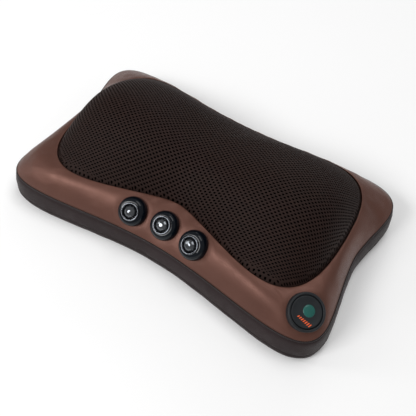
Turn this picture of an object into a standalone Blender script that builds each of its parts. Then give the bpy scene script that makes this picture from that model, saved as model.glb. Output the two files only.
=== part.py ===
"""Heated shiatsu neck massager: a dog-bone pillow with two twin-head rotors under an air-mesh cover.

Units are metres. X runs along the pillow, +Y points to its back edge, +Z is up, and z = 0 is the face
that it lies on. The origin is under the middle of the pillow.
"""

import math

import bmesh
import bpy
from mathutils import Matrix, Vector

# --- Driving dimensions -------------------------------------------------------------------------
GAP = 0.0003  # between pieces that touch
RUNNING = 0.0001  # radial clearance of a shaft that turns in its bush
CENTRE_Y = 0.0073  # both outlines are drawn about this line
WAIST_BEND = 0.06  # how gently an outline turns at its waist

# Grid of the soft covers: cells along X and along Y
CELLS_X = 20
CELLS_Y = 12
COVER_STEPS = 4
LINING_CELLS_X = 12
LINING_CELLS_Y = 8

# Sewn shell, from the floor up
SEAM_Z = 0.0264
SEAM_CORNER_RISE = 0.006
FABRIC = 0.0024  # leatherette with its foam backing
BAND_BULGE = 0.0042
UPPER_CORD_R = 0.0007
UPPER_SLOT = 0.0019  # height left between the cover and the band for the upper cord
LOWER_CORD_R = 0.0005
LOWER_CORD_Z = 0.0078
GROOVE = 0.0014  # half height and depth of the lower cord's groove
BAND_UNDERCUT = 0.0020
BAND_TOP_SLOPE = 0.0026
BOTTOM_CLOTH = 0.002
CROWN_FRONT = 2.2  # how early the frame cover rises from its seam
CROWN_BACK = 1.3
WINDOW_Z_FRONT = 0.0488
WINDOW_Z_BACK = 0.0442

# Air-mesh dome over the massage heads
DOME_RISE = 0.0262
MOUND_RISE = 0.0190
MOUND_X = 0.077
MOUND_Y = -0.001
MOUND_SPREAD_X = 0.044
MOUND_SPREAD_Y = 0.031
DOME_STEEP_X = 13.0
DOME_STEEP_Y = 2.6
DOME_ROUNDING = 1.2
MESH_CLOTH = 0.002
LINING = 0.0006
LINING_DROP = 0.0014
MESH_EDGE = 0.994  # the mesh and its lining end just inside the window
LINING_EDGE = 0.985

# Housing
TRAY_FLOOR_Z = 0.0024
TRAY_WALL = 0.0022
TRAY_TOP_Z = 0.0230
TRAY_INSET = 0.0006
TRAY_FLOOR = 0.0025
DECK_Z = 0.0407
DECK_SPAN = 0.93  # the flat deck ends at this part of the window
SHELL_RISES = (0.06, 0.42, 0.86)
SHELL_WALL = 0.0022
HUB_HOLE_R = 0.0135
POST_R = 0.004

# Gear train: module 1, single-start worms on one shaft, a left-hand and a right-hand one
MODULE = 0.001
WHEEL_TEETH = 40
WHEEL_PITCH_R = MODULE * WHEEL_TEETH / 2
WORM_PITCH_R = 0.005
ROTOR_X = 0.070
ROTOR_Y = 0.003
SHAFT_Y = ROTOR_Y - WHEEL_PITCH_R - WORM_PITCH_R
SHAFT_Z = 0.0225
SHAFT_R = 0.002
WHEEL_THICK = 0.008

# Gearbox
BOX_HALF_X = 0.096
BOX_FRONT_Y = SHAFT_Y - 0.0158
BOX_BACK_Y = ROTOR_Y + 0.0245
BOX_WALL = 0.0022
BOX_LOW_Z = 0.0052
BOX_TOP_Z = 0.0380
BOX_CORNER_R = 0.010
RIB_X = 0.086
RIB_HALF = 0.002
BUSH_OUTER_R = 0.005
OUTPUT_BUSH_R = 0.007
CRADLE_X = 0.014

# Motor
MOTOR_HALF = 0.023
MOTOR_R = 0.0125
MOTOR_WALL = 0.0012
MOTOR_BORE_R = SHAFT_R + 0.0008
DRIVE_SHAFT_HALF = 0.0905

# Rotors
HEAD_ORBIT_R = 0.029
HEAD_R = 0.0150
HEAD_HEIGHT = 0.0220
HEAD_Z = 0.0505
ARM_Z = 0.0425
ARM_THICK = 0.007
OUTPUT_R = 0.004
PIN_R = 0.003
PIN_COLLAR_R = 0.005
ARM_HUB_R = 0.0125
ARM_END_R = 0.009
ARM_ANGLE = 60.0
SIDES = (("left", -1), ("right", 1))

# Controls on the frame cover
STUD_R = 0.0137
STUD_SPOTS = {"left": (-0.0315, -0.0707), "middle": (0.0012, -0.0672), "right": (0.0339, -0.0705)}
BUTTON_SPOT = (0.1452, -0.0735)
BUTTON_R = 0.0163
BUTTON_INNER_R = 0.0139
LENS_X = 0.0013
LENS_Y = 0.0018
MARK_X = 0.0016
MARK_Y = -0.0074
MARK_TURN = -7.0
MARK_HALF_X = 0.0064
MARK_HALF_Y = 0.0014
LENS_HOLE_R = 0.0054
LENS_SEAT = 0.0008
MARK_SEAT = 0.0007
SWITCH_BOARD_TOP = -0.0055

# Jack on the back edge
JACK_X = 0.100
JACK_Z = 0.0125
JACK_MOUTH_Y = 0.0895
JACK_HOLE_R = 0.0058
PLATE_HALF = 0.0145  # half length of the plate that carries it

# Boards, lamps and screws
BOARD_Z = 0.0092
BOARD_PEGS = ((0.117, -0.020), (0.117, 0.030))
LAMP_SPOTS = {"warming_lamp_front": -0.022, "warming_lamp_back": 0.030}
LAMP_HOLE_R = 0.0054
SCREW_SPOTS = {
    "screw_front_left": (-0.118, -0.046), "screw_front_right": (0.118, -0.046),
    "screw_back_left": (-0.118, 0.056), "screw_back_right": (0.118, 0.056),
}

# Strap across the back
STRAP_HALF_X = 0.126
STRAP_HALF_Y = 0.020
STRAP_THICK = 0.0011
STRAP_SLACK = 0.0005  # the channel is wider than the strap by this much all round

TAU = 2 * math.pi


# --- Scene helpers ------------------------------------------------------------------------------
def clear_scene():
    for item in list(bpy.data.objects):
        bpy.data.objects.remove(item, do_unlink=True)


def new_collection(name):
    collection = bpy.data.collections.new(name)
    bpy.context.scene.collection.children.link(collection)
    return collection


clear_scene()
PARTS = new_collection("neck_massager")
CUTTERS = new_collection("cutters")


def material(name, colour, roughness, metallic=0.0):
    made = bpy.data.materials.get(name)
    if made is None:
        made = bpy.data.materials.new(name)
        made.use_nodes = True
        shader = made.node_tree.nodes["Principled BSDF"]
        shader.inputs["Base Color"].default_value = (*colour, 1.0)
        shader.inputs["Roughness"].default_value = roughness
        shader.inputs["Metallic"].default_value = metallic
    return made


BRONZE = material("bronze_leatherette", (0.17, 0.075, 0.055), 0.38, 0.35)
DARK_LEATHER = material("dark_leatherette", (0.045, 0.03, 0.03), 0.6)
AIR_MESH = material("air_mesh", (0.026, 0.016, 0.014), 0.85)
CLOTH = material("black_cloth", (0.012, 0.011, 0.011), 0.9)
PIPING = material("seam_cord", (0.018, 0.012, 0.012), 0.6)
SHELL_ABS = material("shell_abs", (0.03, 0.03, 0.032), 0.5)
GEARBOX_ABS = material("gearbox_abs", (0.55, 0.55, 0.53), 0.5)
ACETAL = material("acetal", (0.80, 0.79, 0.74), 0.45)
HEAD_RUBBER = material("head_rubber", (0.45, 0.07, 0.03), 0.45)
STEEL = material("steel", (0.56, 0.57, 0.58), 0.3, 1.0)
BRASS = material("sintered_bronze", (0.55, 0.36, 0.16), 0.4, 1.0)
COPPER = material("copper", (0.60, 0.25, 0.12), 0.35, 1.0)
GLOSS_BLACK = material("gloss_black", (0.008, 0.011, 0.016), 0.08)
CHROME = material("chrome", (0.75, 0.77, 0.80), 0.08, 1.0)
CRYSTAL = material("smoked_crystal", (0.20, 0.24, 0.28), 0.03, 0.6)
RUBBER = material("black_rubber", (0.014, 0.017, 0.020), 0.6)
TEAL = material("teal_lens", (0.018, 0.20, 0.17), 0.35)
ORANGE = material("orange_mark", (0.80, 0.13, 0.03), 0.5)
BOARD = material("circuit_board", (0.02, 0.16, 0.06), 0.5)
RED_LAMP = material("warming_lamp", (0.60, 0.03, 0.02), 0.15)


def finish(mesh, name, look, smooth_angle=35):
    """Makes the named object, its faces turned outward and its round sides shaded smooth."""
    if smooth_angle:
        mesh.shade_smooth()
        mesh.set_sharp_from_angle(angle=math.radians(smooth_angle))
    made = bpy.data.objects.new(name, mesh)
    if look:
        mesh.materials.append(look)
    PARTS.objects.link(made)
    return made


def mesh_from(bm, name, outward=True):
    if outward:
        bmesh.ops.recalc_face_normals(bm, faces=bm.faces)
    mesh = bpy.data.meshes.new(name)
    bm.to_mesh(mesh)
    bm.free()
    return mesh


def place(item, matrix=None, parent=None):
    if matrix is not None:
        item.matrix_world = matrix
    if parent is not None:
        item.parent = parent
    return item


def at(x, y, z=0.0):
    return Matrix.Translation((x, y, z))


def along_x(x, y, z):
    """A frame whose local Z runs along world X."""
    return at(x, y, z) @ Matrix.Rotation(math.radians(90), 4, "Y")


def axis_empty(name, matrix):
    """An empty on a joint's axis, which carries that joint's pieces."""
    empty = bpy.data.objects.new(name, None)
    empty.matrix_world = matrix
    PARTS.objects.link(empty)
    return empty


# --- Shape helpers ------------------------------------------------------------------------------
def loft(name, rings, look, wrap=False, smooth_angle=35):
    """A skin through rings of points. The end rings are capped, or joined to each other with wrap."""
    bm = bmesh.new()
    loops = [[bm.verts.new(point) for point in ring] for ring in rings]
    count = len(rings[0])
    pairs = list(zip(loops, loops[1:]))
    if wrap:
        pairs.append((loops[-1], loops[0]))
    for low, high in pairs:
        for i in range(count):
            j = (i + 1) % count
            bm.faces.new((low[i], low[j], high[j], high[i]))
    if not wrap:
        bm.faces.new(loops[0])
        bm.faces.new(loops[-1])
    return finish(mesh_from(bm, name), name, look, smooth_angle)


def turned(name, profile, look, segments=20, closed=False):
    """A solid of revolution about local Z from (radius, height) points, listed from the top down."""
    mesh = bpy.data.meshes.new(name)
    points = [(radius, 0.0, height) for radius, height in profile]
    edges = [(i, i + 1) for i in range(len(points) - 1)]
    if closed:
        edges.append((len(points) - 1, 0))
    mesh.from_pydata(points, edges, [])
    made = finish(mesh, name, look, smooth_angle=0)
    screw = made.modifiers.new("turn", "SCREW")
    screw.axis = "Z"
    screw.steps = segments
    screw.render_steps = segments
    screw.use_merge_vertices = True
    screw.merge_threshold = 0.00001
    screw.use_smooth_shade = True
    return made


def rod(name, radius, low, high, look, segments=16):
    """A plain cylinder along local Z between two heights."""
    bm = bmesh.new()
    middle = Matrix.Translation((0, 0, (low + high) / 2))
    bmesh.ops.create_cone(bm, cap_ends=True, segments=segments, radius1=radius, radius2=radius,
                          depth=high - low, matrix=middle)
    return finish(mesh_from(bm, name), name, look)


def box(name, low, high, look):
    """A block between two opposite corners."""
    bm = bmesh.new()
    size = [b - a for a, b in zip(low, high)]
    centre = [(a + b) / 2 for a, b in zip(low, high)]
    frame = Matrix.Translation(centre) @ Matrix.Diagonal((*size, 1.0))
    bmesh.ops.create_cube(bm, size=1.0, matrix=frame)
    return finish(mesh_from(bm, name), name, look)


def as_cutter(item, target, matrix=None, union=False):
    """Makes the item a wire guide and cuts it from the target, or joins it on."""
    PARTS.objects.unlink(item)
    CUTTERS.objects.link(item)
    item.hide_render = True
    item.display_type = "WIRE"
    if matrix is not None:
        item.matrix_world = matrix
    boolean = target.modifiers.new(item.name, "BOOLEAN")
    boolean.operation = "UNION" if union else "DIFFERENCE"
    boolean.solver = "EXACT"
    boolean.object = item
    return item


def drill(target, name, radius, low, high, matrix, segments=16):
    return as_cutter(rod(name, radius, low, high, None, segments), target, matrix)


def join(target, item, matrix=None):
    return as_cutter(item, target, matrix, union=True)


# --- The two dog-bone outlines ------------------------------------------------------------------
class Outline:
    """A superellipse whose waist and ends differ: u and v run from -1 to 1 across it."""

    def __init__(self, power, end_x, corner_x, x_power, front, back):
        self.power = power
        self.end_x = end_x
        self.corner_x = corner_x
        self.x_power = x_power
        self.front = front  # half depth at the waist, at the corners, and the power between them
        self.back = back

    def point(self, u, v):
        x = u * (self.end_x + (self.corner_x - self.end_x) * abs(v) ** self.x_power)
        waist, corner, power = self.front if v < 0 else self.back
        bow = (math.hypot(u, WAIST_BEND) - WAIST_BEND) / (math.hypot(1, WAIST_BEND) - WAIST_BEND)
        y = CENTRE_Y + v * (waist + (corner - waist) * bow ** power)
        return x, y

    def uv(self, s, t):
        """The point of the square (s, t) carried to the superellipse."""
        size = max(abs(s), abs(t))
        if size == 0:
            return 0.0, 0.0
        norm = (abs(s) ** self.power + abs(t) ** self.power) ** (1 / self.power)
        return s * size / norm, t * size / norm

    def radius(self, u, v):
        return (abs(u) ** self.power + abs(v) ** self.power) ** (1 / self.power)


CASE = Outline(4.85, 0.1563, 0.1818, 1.53, (0.0889, 0.1200, 1.48), (0.0796, 0.0975, 1.1))
WINDOW = Outline(4.09, 0.1434, 0.1312, 2.0, (0.0526, 0.0990, 1.12), (0.0690, 0.0940, 2.3))


def square_walk():
    """Points round the square, anticlockwise from its front left corner."""
    walk = []
    for i in range(CELLS_X):
        walk.append((-1 + 2 * i / CELLS_X, -1.0))
    for i in range(CELLS_Y):
        walk.append((1.0, -1 + 2 * i / CELLS_Y))
    for i in range(CELLS_X):
        walk.append((1 - 2 * i / CELLS_X, 1.0))
    for i in range(CELLS_Y):
        walk.append((-1.0, 1 - 2 * i / CELLS_Y))
    return walk


def outline_ring(outline, outward):
    """The outline's points moved outward by a distance, with the (u, v) of each."""
    uvs = [outline.uv(s, t) for s, t in square_walk()]
    flat = [Vector(outline.point(u, v)) for u, v in uvs]
    ring = []
    for i, point in enumerate(flat):
        run = (flat[(i + 1) % len(flat)] - flat[i - 1]).normalized()
        normal = Vector((run.y, -run.x))
        ring.append((point + normal * outward, uvs[i]))
    return ring


def seam_z(u, v):
    return SEAM_Z + SEAM_CORNER_RISE * (u * v) ** 2


def window_z(u, v):
    middle = (WINDOW_Z_FRONT + WINDOW_Z_BACK) / 2
    return middle + (WINDOW_Z_BACK - WINDOW_Z_FRONT) / 2 * v - 0.001 * (1 - abs(u)) ** 2


def cover_point(s, t, rise):
    """A point of the crowned frame cover: rise is 0 at the seam and 1 at the window's edge."""
    u, v = CASE.uv(s, t)
    a, b = WINDOW.uv(s, t)
    outer = Vector((*CASE.point(u, v), seam_z(u, v)))
    inner = Vector((*WINDOW.point(a, b), window_z(a, b)))
    backness = min(max(2 * v, 0.0), 1.0)
    crown = CROWN_FRONT + (CROWN_BACK - CROWN_FRONT) * backness
    lift = 1 - (1 - rise) ** crown
    point = outer.lerp(inner, rise)
    point.z = outer.z + (inner.z - outer.z) * lift
    return point


def dome_z(u, v):
    """Height of the air-mesh over the window."""
    radius = min(WINDOW.radius(u, v), 1.0)
    if radius < 1e-6:
        edge = (WINDOW_Z_FRONT + WINDOW_Z_BACK) / 2 - 0.001
        sideways = 0.5
        rounded = 0.0
    else:
        edge_u, edge_v = u / radius, v / radius
        pull = radius ** 2
        edge = window_z(edge_u, edge_v) * pull + window_z(0.0, 0.0) * (1 - pull)
        sideways = u * u / (u * u + v * v)
        spread = math.hypot(u, v) / radius
        rounded = min(radius * (1 + (spread - 1) * (1 - radius ** 2) * DOME_ROUNDING), 1.0)
    steep = DOME_STEEP_Y + (DOME_STEEP_X - DOME_STEEP_Y) * sideways
    x, y = WINDOW.point(u, v)
    mound = 0.0
    for side in (-1, 1):
        across = (x - side * MOUND_X) / MOUND_SPREAD_X
        deep = (y - MOUND_Y) / MOUND_SPREAD_Y
        mound += math.exp(-0.5 * (across ** 2 + deep ** 2))
    return edge + (DOME_RISE + MOUND_RISE * mound) * (1 - rounded ** steep)


def front_walk(along):
    """The square's front side from -1 to 1, and past 1 up its right side."""
    if along <= 1.0:
        return along, -1.0
    return 1.0, along - 2.0


def spot_frame(x, y):
    """A frame on the frame cover over (x, y), whose Z is the cover's outward normal."""
    along, rise = x / CASE.end_x, 0.4
    step = 1e-4
    for _ in range(30):
        here = cover_point(*front_walk(along), rise)
        d_along = (cover_point(*front_walk(along + step), rise) - here) / step
        d_rise = (cover_point(*front_walk(along), rise + step) - here) / step
        error = Vector((x - here.x, y - here.y))
        det = d_along.x * d_rise.y - d_along.y * d_rise.x
        along += 0.7 * (error.x * d_rise.y - error.y * d_rise.x) / det
        rise += 0.7 * (d_along.x * error.y - d_along.y * error.x) / det
        rise = min(max(rise, 0.05), 0.95)
    normal = d_along.cross(d_rise).normalized()
    side = Vector((1, 0, 0))
    side = (side - normal * side.dot(normal)).normalized()
    back = normal.cross(side)
    frame = Matrix((side, back, normal)).transposed().to_4x4()
    frame.translation = here
    return frame


STUD_FRAMES = {name: spot_frame(x, y) for name, (x, y) in STUD_SPOTS.items()}
BUTTON_FRAME = spot_frame(*BUTTON_SPOT)
MOTOR_FRAME = along_x(0.0, SHAFT_Y, SHAFT_Z)
JACK_FRAME = at(JACK_X, JACK_MOUTH_Y, JACK_Z) @ Matrix.Rotation(math.radians(-90), 4, "X")


# --- Sewn shell ---------------------------------------------------------------------------------
def thicken(item, thickness, offset=-1.0):
    solid = item.modifiers.new("thickness", "SOLIDIFY")
    solid.thickness = thickness
    solid.offset = offset
    solid.use_even_offset = False
    return item


def cover_skin(name, look, rises, deck=None):
    """The open crowned skin through the given rises, closed by a flat deck when one is given."""
    rows = [[cover_point(s, t, rise) for s, t in square_walk()] for rise in rises]
    if deck:
        rows.append(deck)
    bm = bmesh.new()
    loops = [[bm.verts.new(point) for point in row] for row in rows]
    for low, high in zip(loops, loops[1:]):
        for i in range(len(low)):
            j = (i + 1) % len(low)
            bm.faces.new((low[i], low[j], high[j], high[i]))
    if deck:
        bm.faces.new(loops[-1])
    return finish(mesh_from(bm, name, outward=False), name, look)


def make_top_cover():
    rises = [j / COVER_STEPS for j in range(COVER_STEPS + 1)]
    cover = thicken(cover_skin("top_cover", BRONZE, rises), FABRIC)
    for name, frame in STUD_FRAMES.items():
        drill(cover, f"cut_cover_{name}_stud", STUD_R + GAP, -0.012, 0.02, frame, 20)
    drill(cover, "cut_cover_button", BUTTON_R + GAP, -0.014, 0.02, BUTTON_FRAME, 24)


def level_ring(outward, height):
    """A ring round the case at an offset from its outline, at a height given from (u, v)."""
    return [Vector((*point, height(u, v))) for point, (u, v) in outline_ring(CASE, outward)]


def band_ring(name, look):
    """A bulging wall, grooved for the lower cord. Its top slopes in under the frame cover's turned edge."""
    def top(u, v):
        return seam_z(u, v) - UPPER_SLOT
    profile = (
        (0.0, top),
        (0.7 * BAND_BULGE, lambda u, v: 0.62 * top(u, v)),
        (BAND_BULGE, lambda u, v: LOWER_CORD_Z + GROOVE),
        (BAND_BULGE - GROOVE, lambda u, v: LOWER_CORD_Z),
        (BAND_BULGE, lambda u, v: LOWER_CORD_Z - GROOVE),
        (BAND_BULGE - BAND_UNDERCUT, lambda u, v: 0.0),
        (-FABRIC, lambda u, v: 0.0),
        (-FABRIC, lambda u, v: top(u, v) - BAND_TOP_SLOPE),
    )
    return loft(name, [level_ring(out, height) for out, height in profile], look, wrap=True)


def plate_block(name, half):
    """A block round the band's stretch at the jack."""
    return box(name, (JACK_X - half, 0.05, -0.01), (JACK_X + half, 0.15, 0.05), None)


def make_side_band():
    """Open at the back for the jack's plate."""
    band = band_ring("side_band", DARK_LEATHER)
    as_cutter(plate_block("cut_band_plate", PLATE_HALF + GAP), band)


def make_jack_plate():
    """The moulded piece in the band's opening, with the jack's hole through it."""
    plate = band_ring("jack_plate", SHELL_ABS)
    as_cutter(plate_block("keep_plate", PLATE_HALF), plate)
    plate.modifiers[-1].operation = "INTERSECT"
    drill(plate, "cut_plate_jack", JACK_HOLE_R, -0.02, 0.02, JACK_FRAME, 14)


def seam_cord(name, radius, outward, height):
    """A thin cord that follows the case's outline."""
    rings = []
    for k in range(3):
        turn = TAU * k / 3
        rise = radius * math.sin(turn)
        rings.append(level_ring(outward + radius * math.cos(turn), lambda u, v: height(u, v) + rise))
    return loft(name, rings, PIPING, wrap=True)


def make_bottom_cover():
    inset = -(FABRIC + GAP)
    lower = [Vector((*point, 0.0)) for point, _ in outline_ring(CASE, inset)]
    upper = [Vector((*point, BOTTOM_CLOTH)) for point, _ in outline_ring(CASE, inset)]
    cover = loft("bottom_cover", [lower, upper], DARK_LEATHER)
    half_x, half_y = STRAP_HALF_X + STRAP_SLACK, STRAP_HALF_Y + STRAP_SLACK
    channel = box("cut_strap_channel", (-half_x, -half_y, -0.001), (half_x, half_y, STRAP_THICK + GAP), None)
    as_cutter(channel, cover)


def make_back_strap():
    box("back_strap", (-STRAP_HALF_X, -STRAP_HALF_Y, 0.0), (STRAP_HALF_X, STRAP_HALF_Y, STRAP_THICK), CLOTH)


def dome_skin(name, look, cells_x, cells_y, edge):
    """The open skin over the window, on a grid that ends just inside the frame cover's edge."""
    bm = bmesh.new()
    grid = []
    for j in range(cells_y + 1):
        row = []
        for i in range(cells_x + 1):
            u, v = WINDOW.uv(-1 + 2 * i / cells_x, -1 + 2 * j / cells_y)
            x, y = WINDOW.point(u * edge, v * edge)
            row.append(bm.verts.new((x, y, dome_z(u, v))))
        grid.append(row)
    for low, high in zip(grid, grid[1:]):
        for i in range(cells_x):
            bm.faces.new((low[i], low[i + 1], high[i + 1], high[i]))
    return finish(mesh_from(bm, name, outward=False), name, look)


def make_mesh_cover():
    thicken(dome_skin("mesh_cover", AIR_MESH, CELLS_X, CELLS_Y, MESH_EDGE), MESH_CLOTH)


def make_mesh_lining():
    """Lies under the air-mesh: Solidify's offset sets it below the outer skin."""
    depth = MESH_CLOTH + LINING_DROP
    offset = -(2 * depth / LINING + 1)
    thicken(dome_skin("mesh_lining", CLOTH, LINING_CELLS_X, LINING_CELLS_Y, LINING_EDGE), LINING, offset)


# --- Housing ------------------------------------------------------------------------------------
def make_top_shell():
    """Follows the frame cover one cloth below it, then spans the window as a flat deck."""
    below = FABRIC + 3 * GAP
    deck = []
    for s, t in square_walk():
        u, v = WINDOW.uv(s, t)
        deck.append(Vector((*WINDOW.point(u * DECK_SPAN, v * DECK_SPAN), DECK_Z + below)))
    shell = cover_skin("top_shell", SHELL_ABS, SHELL_RISES, deck)
    thicken(shell, SHELL_WALL, -(2 * below / SHELL_WALL + 1))
    for side, sign in SIDES:
        drill(shell, f"cut_shell_{side}_hub", HUB_HOLE_R, 0.0, 0.06, at(sign * ROTOR_X, ROTOR_Y), 20)
    for name, y in LAMP_SPOTS.items():
        drill(shell, f"cut_shell_{name}", LAMP_HOLE_R, 0.0, 0.06, at(0.0, y), 12)
    for name, frame in STUD_FRAMES.items():
        drill(shell, f"cut_shell_{name}_stud", 0.0031, -0.02, 0.0, frame, 8)
    drill(shell, "cut_shell_button", BUTTON_R + GAP, -0.016, 0.01, BUTTON_FRAME, 24)
    for name, (x, y) in SCREW_SPOTS.items():
        post = rod(f"add_{name}_post", POST_R, TRAY_FLOOR_Z + 0.0028, DECK_Z - 0.001, None, 10)
        join(shell, post, at(x, y))
        drill(shell, f"cut_{name}_post", 0.0018, 0.0, 0.030, at(x, y), 8)


def tub(name, outer, inner, low, high, floor, look, upside_down=False):
    """An open box between two outlines, its floor below, or above when upside down."""
    closed_z, open_z = (high, low) if upside_down else (low, high)
    floor_z = closed_z - floor if upside_down else closed_z + floor
    rings = [
        [Vector((*p, closed_z)) for p in outer],
        [Vector((*p, open_z)) for p in outer],
        [Vector((*p, open_z)) for p in inner],
        [Vector((*p, floor_z)) for p in inner],
    ]
    return loft(name, rings, look)


def make_base_tray():
    inset = FABRIC + 2 * GAP + TRAY_INSET
    outer = [point for point, _ in outline_ring(CASE, -inset)]
    inner = [point for point, _ in outline_ring(CASE, -inset - TRAY_WALL)]
    tray = tub("base_tray", outer, inner, TRAY_FLOOR_Z, TRAY_TOP_Z, TRAY_FLOOR, SHELL_ABS)
    for name, (x, y) in SCREW_SPOTS.items():
        drill(tray, f"cut_tray_{name}", 0.0020, 0.0, 0.01, at(x, y), 8)
        drill(tray, f"cut_tray_{name}_head", 0.0042, 0.0, TRAY_FLOOR_Z + 0.0014, at(x, y), 10)
    for x, y in BOARD_PEGS:
        join(tray, rod(f"add_peg_{len(tray.modifiers)}", 0.003, 0.004, BOARD_Z - GAP, None, 10), at(x, y))
    drill(tray, "cut_tray_jack", JACK_HOLE_R, -0.02, 0.02, JACK_FRAME, 14)


def make_housing_screw(name, x, y):
    low = TRAY_FLOOR_Z + 0.0001
    head_top = TRAY_FLOOR_Z + 0.0011
    profile = [(0.0, 0.0215), (0.0013, 0.0205), (0.0013, head_top), (0.0036, head_top),
               (0.0036, low + 0.0002), (0.0034, low), (0.0, low)]
    place(turned(name, profile, STEEL, 8), at(x, y))


# --- Gearbox ------------------------------------------------------------------------------------
def rounded_rectangle(inset):
    """Corner arcs joined by straight sides, moved inward by inset."""
    points = []
    radius = BOX_CORNER_R - inset
    corners = (
        (BOX_HALF_X, BOX_FRONT_Y, -90), (BOX_HALF_X, BOX_BACK_Y, 0),
        (-BOX_HALF_X, BOX_BACK_Y, 90), (-BOX_HALF_X, BOX_FRONT_Y, 180),
    )
    for x, y, start in corners:
        centre_x = x - math.copysign(BOX_CORNER_R, x)
        centre_y = y + (BOX_CORNER_R if y == BOX_FRONT_Y else -BOX_CORNER_R)
        for k in range(5):
            turn = math.radians(start + 90 * k / 4)
            points.append(Vector((centre_x + radius * math.cos(turn), centre_y + radius * math.sin(turn))))
    return points


def add_ribs(box_half, low, high):
    """Upright ribs that hold the shaft's bushes."""
    for side, sign in SIDES:
        x = sign * RIB_X
        name = f"{box_half.name}_{side}_rib"
        front, back = SHAFT_Y - 0.009, SHAFT_Y + 0.006
        join(box_half, box(f"add_{name}", (x - RIB_HALF, front, low), (x + RIB_HALF, back, high), None))
        drill(box_half, f"cut_{name}", BUSH_OUTER_R + GAP, -0.003, 0.003, along_x(x, SHAFT_Y, SHAFT_Z), 16)


def add_motor_cradle(lower):
    """Two saddles that the motor's can lies in."""
    for side, sign in SIDES:
        x = sign * CRADLE_X
        reach = MOTOR_R - 0.001
        saddle = box(f"add_{side}_saddle", (x - RIB_HALF, SHAFT_Y - reach, BOX_LOW_Z + 0.001),
                     (x + RIB_HALF, SHAFT_Y + reach, SHAFT_Z - 0.006), None)
        join(lower, saddle)
        drill(lower, f"cut_{side}_saddle", MOTOR_R + GAP, -0.003, 0.003, along_x(x, SHAFT_Y, SHAFT_Z), 24)


def make_gearbox_lower():
    top = SHAFT_Z - GAP / 2
    lower = tub("gearbox_lower", rounded_rectangle(0.0), rounded_rectangle(BOX_WALL),
                BOX_LOW_Z, top, BOX_WALL, GEARBOX_ABS)
    add_ribs(lower, BOX_LOW_Z + 0.001, top)
    add_motor_cradle(lower)
    for side, sign in SIDES:
        centre = at(sign * ROTOR_X, ROTOR_Y)
        join(lower, rod(f"add_{side}_footstep", 0.0075, BOX_LOW_Z + 0.001, 0.0125, None), centre)
        drill(lower, f"cut_{side}_footstep", OUTPUT_R + RUNNING, BOX_LOW_Z + 0.0018, 0.02, centre)


def make_gearbox_upper():
    low = SHAFT_Z + GAP / 2
    upper = tub("gearbox_upper", rounded_rectangle(0.0), rounded_rectangle(BOX_WALL),
                low, BOX_TOP_Z, BOX_WALL, GEARBOX_ABS, upside_down=True)
    add_ribs(upper, low, BOX_TOP_Z - 0.001)
    for side, sign in SIDES:
        drill(upper, f"cut_{side}_output", OUTPUT_BUSH_R + GAP, 0.03, 0.05, at(sign * ROTOR_X, ROTOR_Y), 20)


def make_shaft_bush(name, sign):
    inner = SHAFT_R + RUNNING
    profile = [(inner, 0.0025), (BUSH_OUTER_R, 0.0025), (BUSH_OUTER_R, -0.0025), (inner, -0.0025)]
    bush = turned(name, profile, BRASS, 16, closed=True)
    place(bush, along_x(sign * RIB_X, SHAFT_Y, SHAFT_Z))


def make_output_bush(name, sign):
    """A flanged bush in the gearbox's roof."""
    inner = OUTPUT_R + RUNNING
    under_deck = BOX_TOP_Z + 0.0013
    foot = BOX_TOP_Z - 0.0037
    profile = [(inner, under_deck), (0.0095, under_deck), (0.0095, BOX_TOP_Z + GAP),
               (OUTPUT_BUSH_R, BOX_TOP_Z + GAP), (OUTPUT_BUSH_R, foot), (inner, foot)]
    place(turned(name, profile, BRASS, 16, closed=True), at(sign * ROTOR_X, ROTOR_Y))


# --- Motor and its shaft ------------------------------------------------------------------------
def make_motor_can():
    inner = MOTOR_R - MOTOR_WALL
    profile = [(MOTOR_R, MOTOR_HALF), (MOTOR_R, -MOTOR_HALF + 0.001), (MOTOR_R - 0.001, -MOTOR_HALF),
               (MOTOR_BORE_R, -MOTOR_HALF), (MOTOR_BORE_R, -MOTOR_HALF + 0.0015),
               (inner, -MOTOR_HALF + 0.0015), (inner, MOTOR_HALF)]
    place(turned("motor_can", profile, STEEL, 18, closed=True), MOTOR_FRAME)


def make_motor_end_cap():
    outer = MOTOR_R - MOTOR_WALL - GAP
    boss = 0.005
    profile = [(boss, MOTOR_HALF + 0.0015), (boss, MOTOR_HALF), (outer, MOTOR_HALF),
               (outer, MOTOR_HALF - 0.003), (MOTOR_BORE_R, MOTOR_HALF - 0.003),
               (MOTOR_BORE_R, MOTOR_HALF + 0.0015)]
    place(turned("motor_end_cap", profile, SHELL_ABS, 16, closed=True), MOTOR_FRAME)


def make_armature(parent):
    bore = SHAFT_R + GAP
    radius, half, chamfer = 0.0095, 0.012, 0.001
    profile = [(radius - chamfer, half), (radius, half - chamfer), (radius, chamfer - half),
               (radius - chamfer, -half), (bore, -half), (bore, half)]
    place(turned("motor_armature", profile, COPPER, 18, closed=True), None, parent)


def make_drive_shaft(parent):
    place(rod("drive_shaft", SHAFT_R, -DRIVE_SHAFT_HALF, DRIVE_SHAFT_HALF, STEEL, 16), None, parent)


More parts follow.
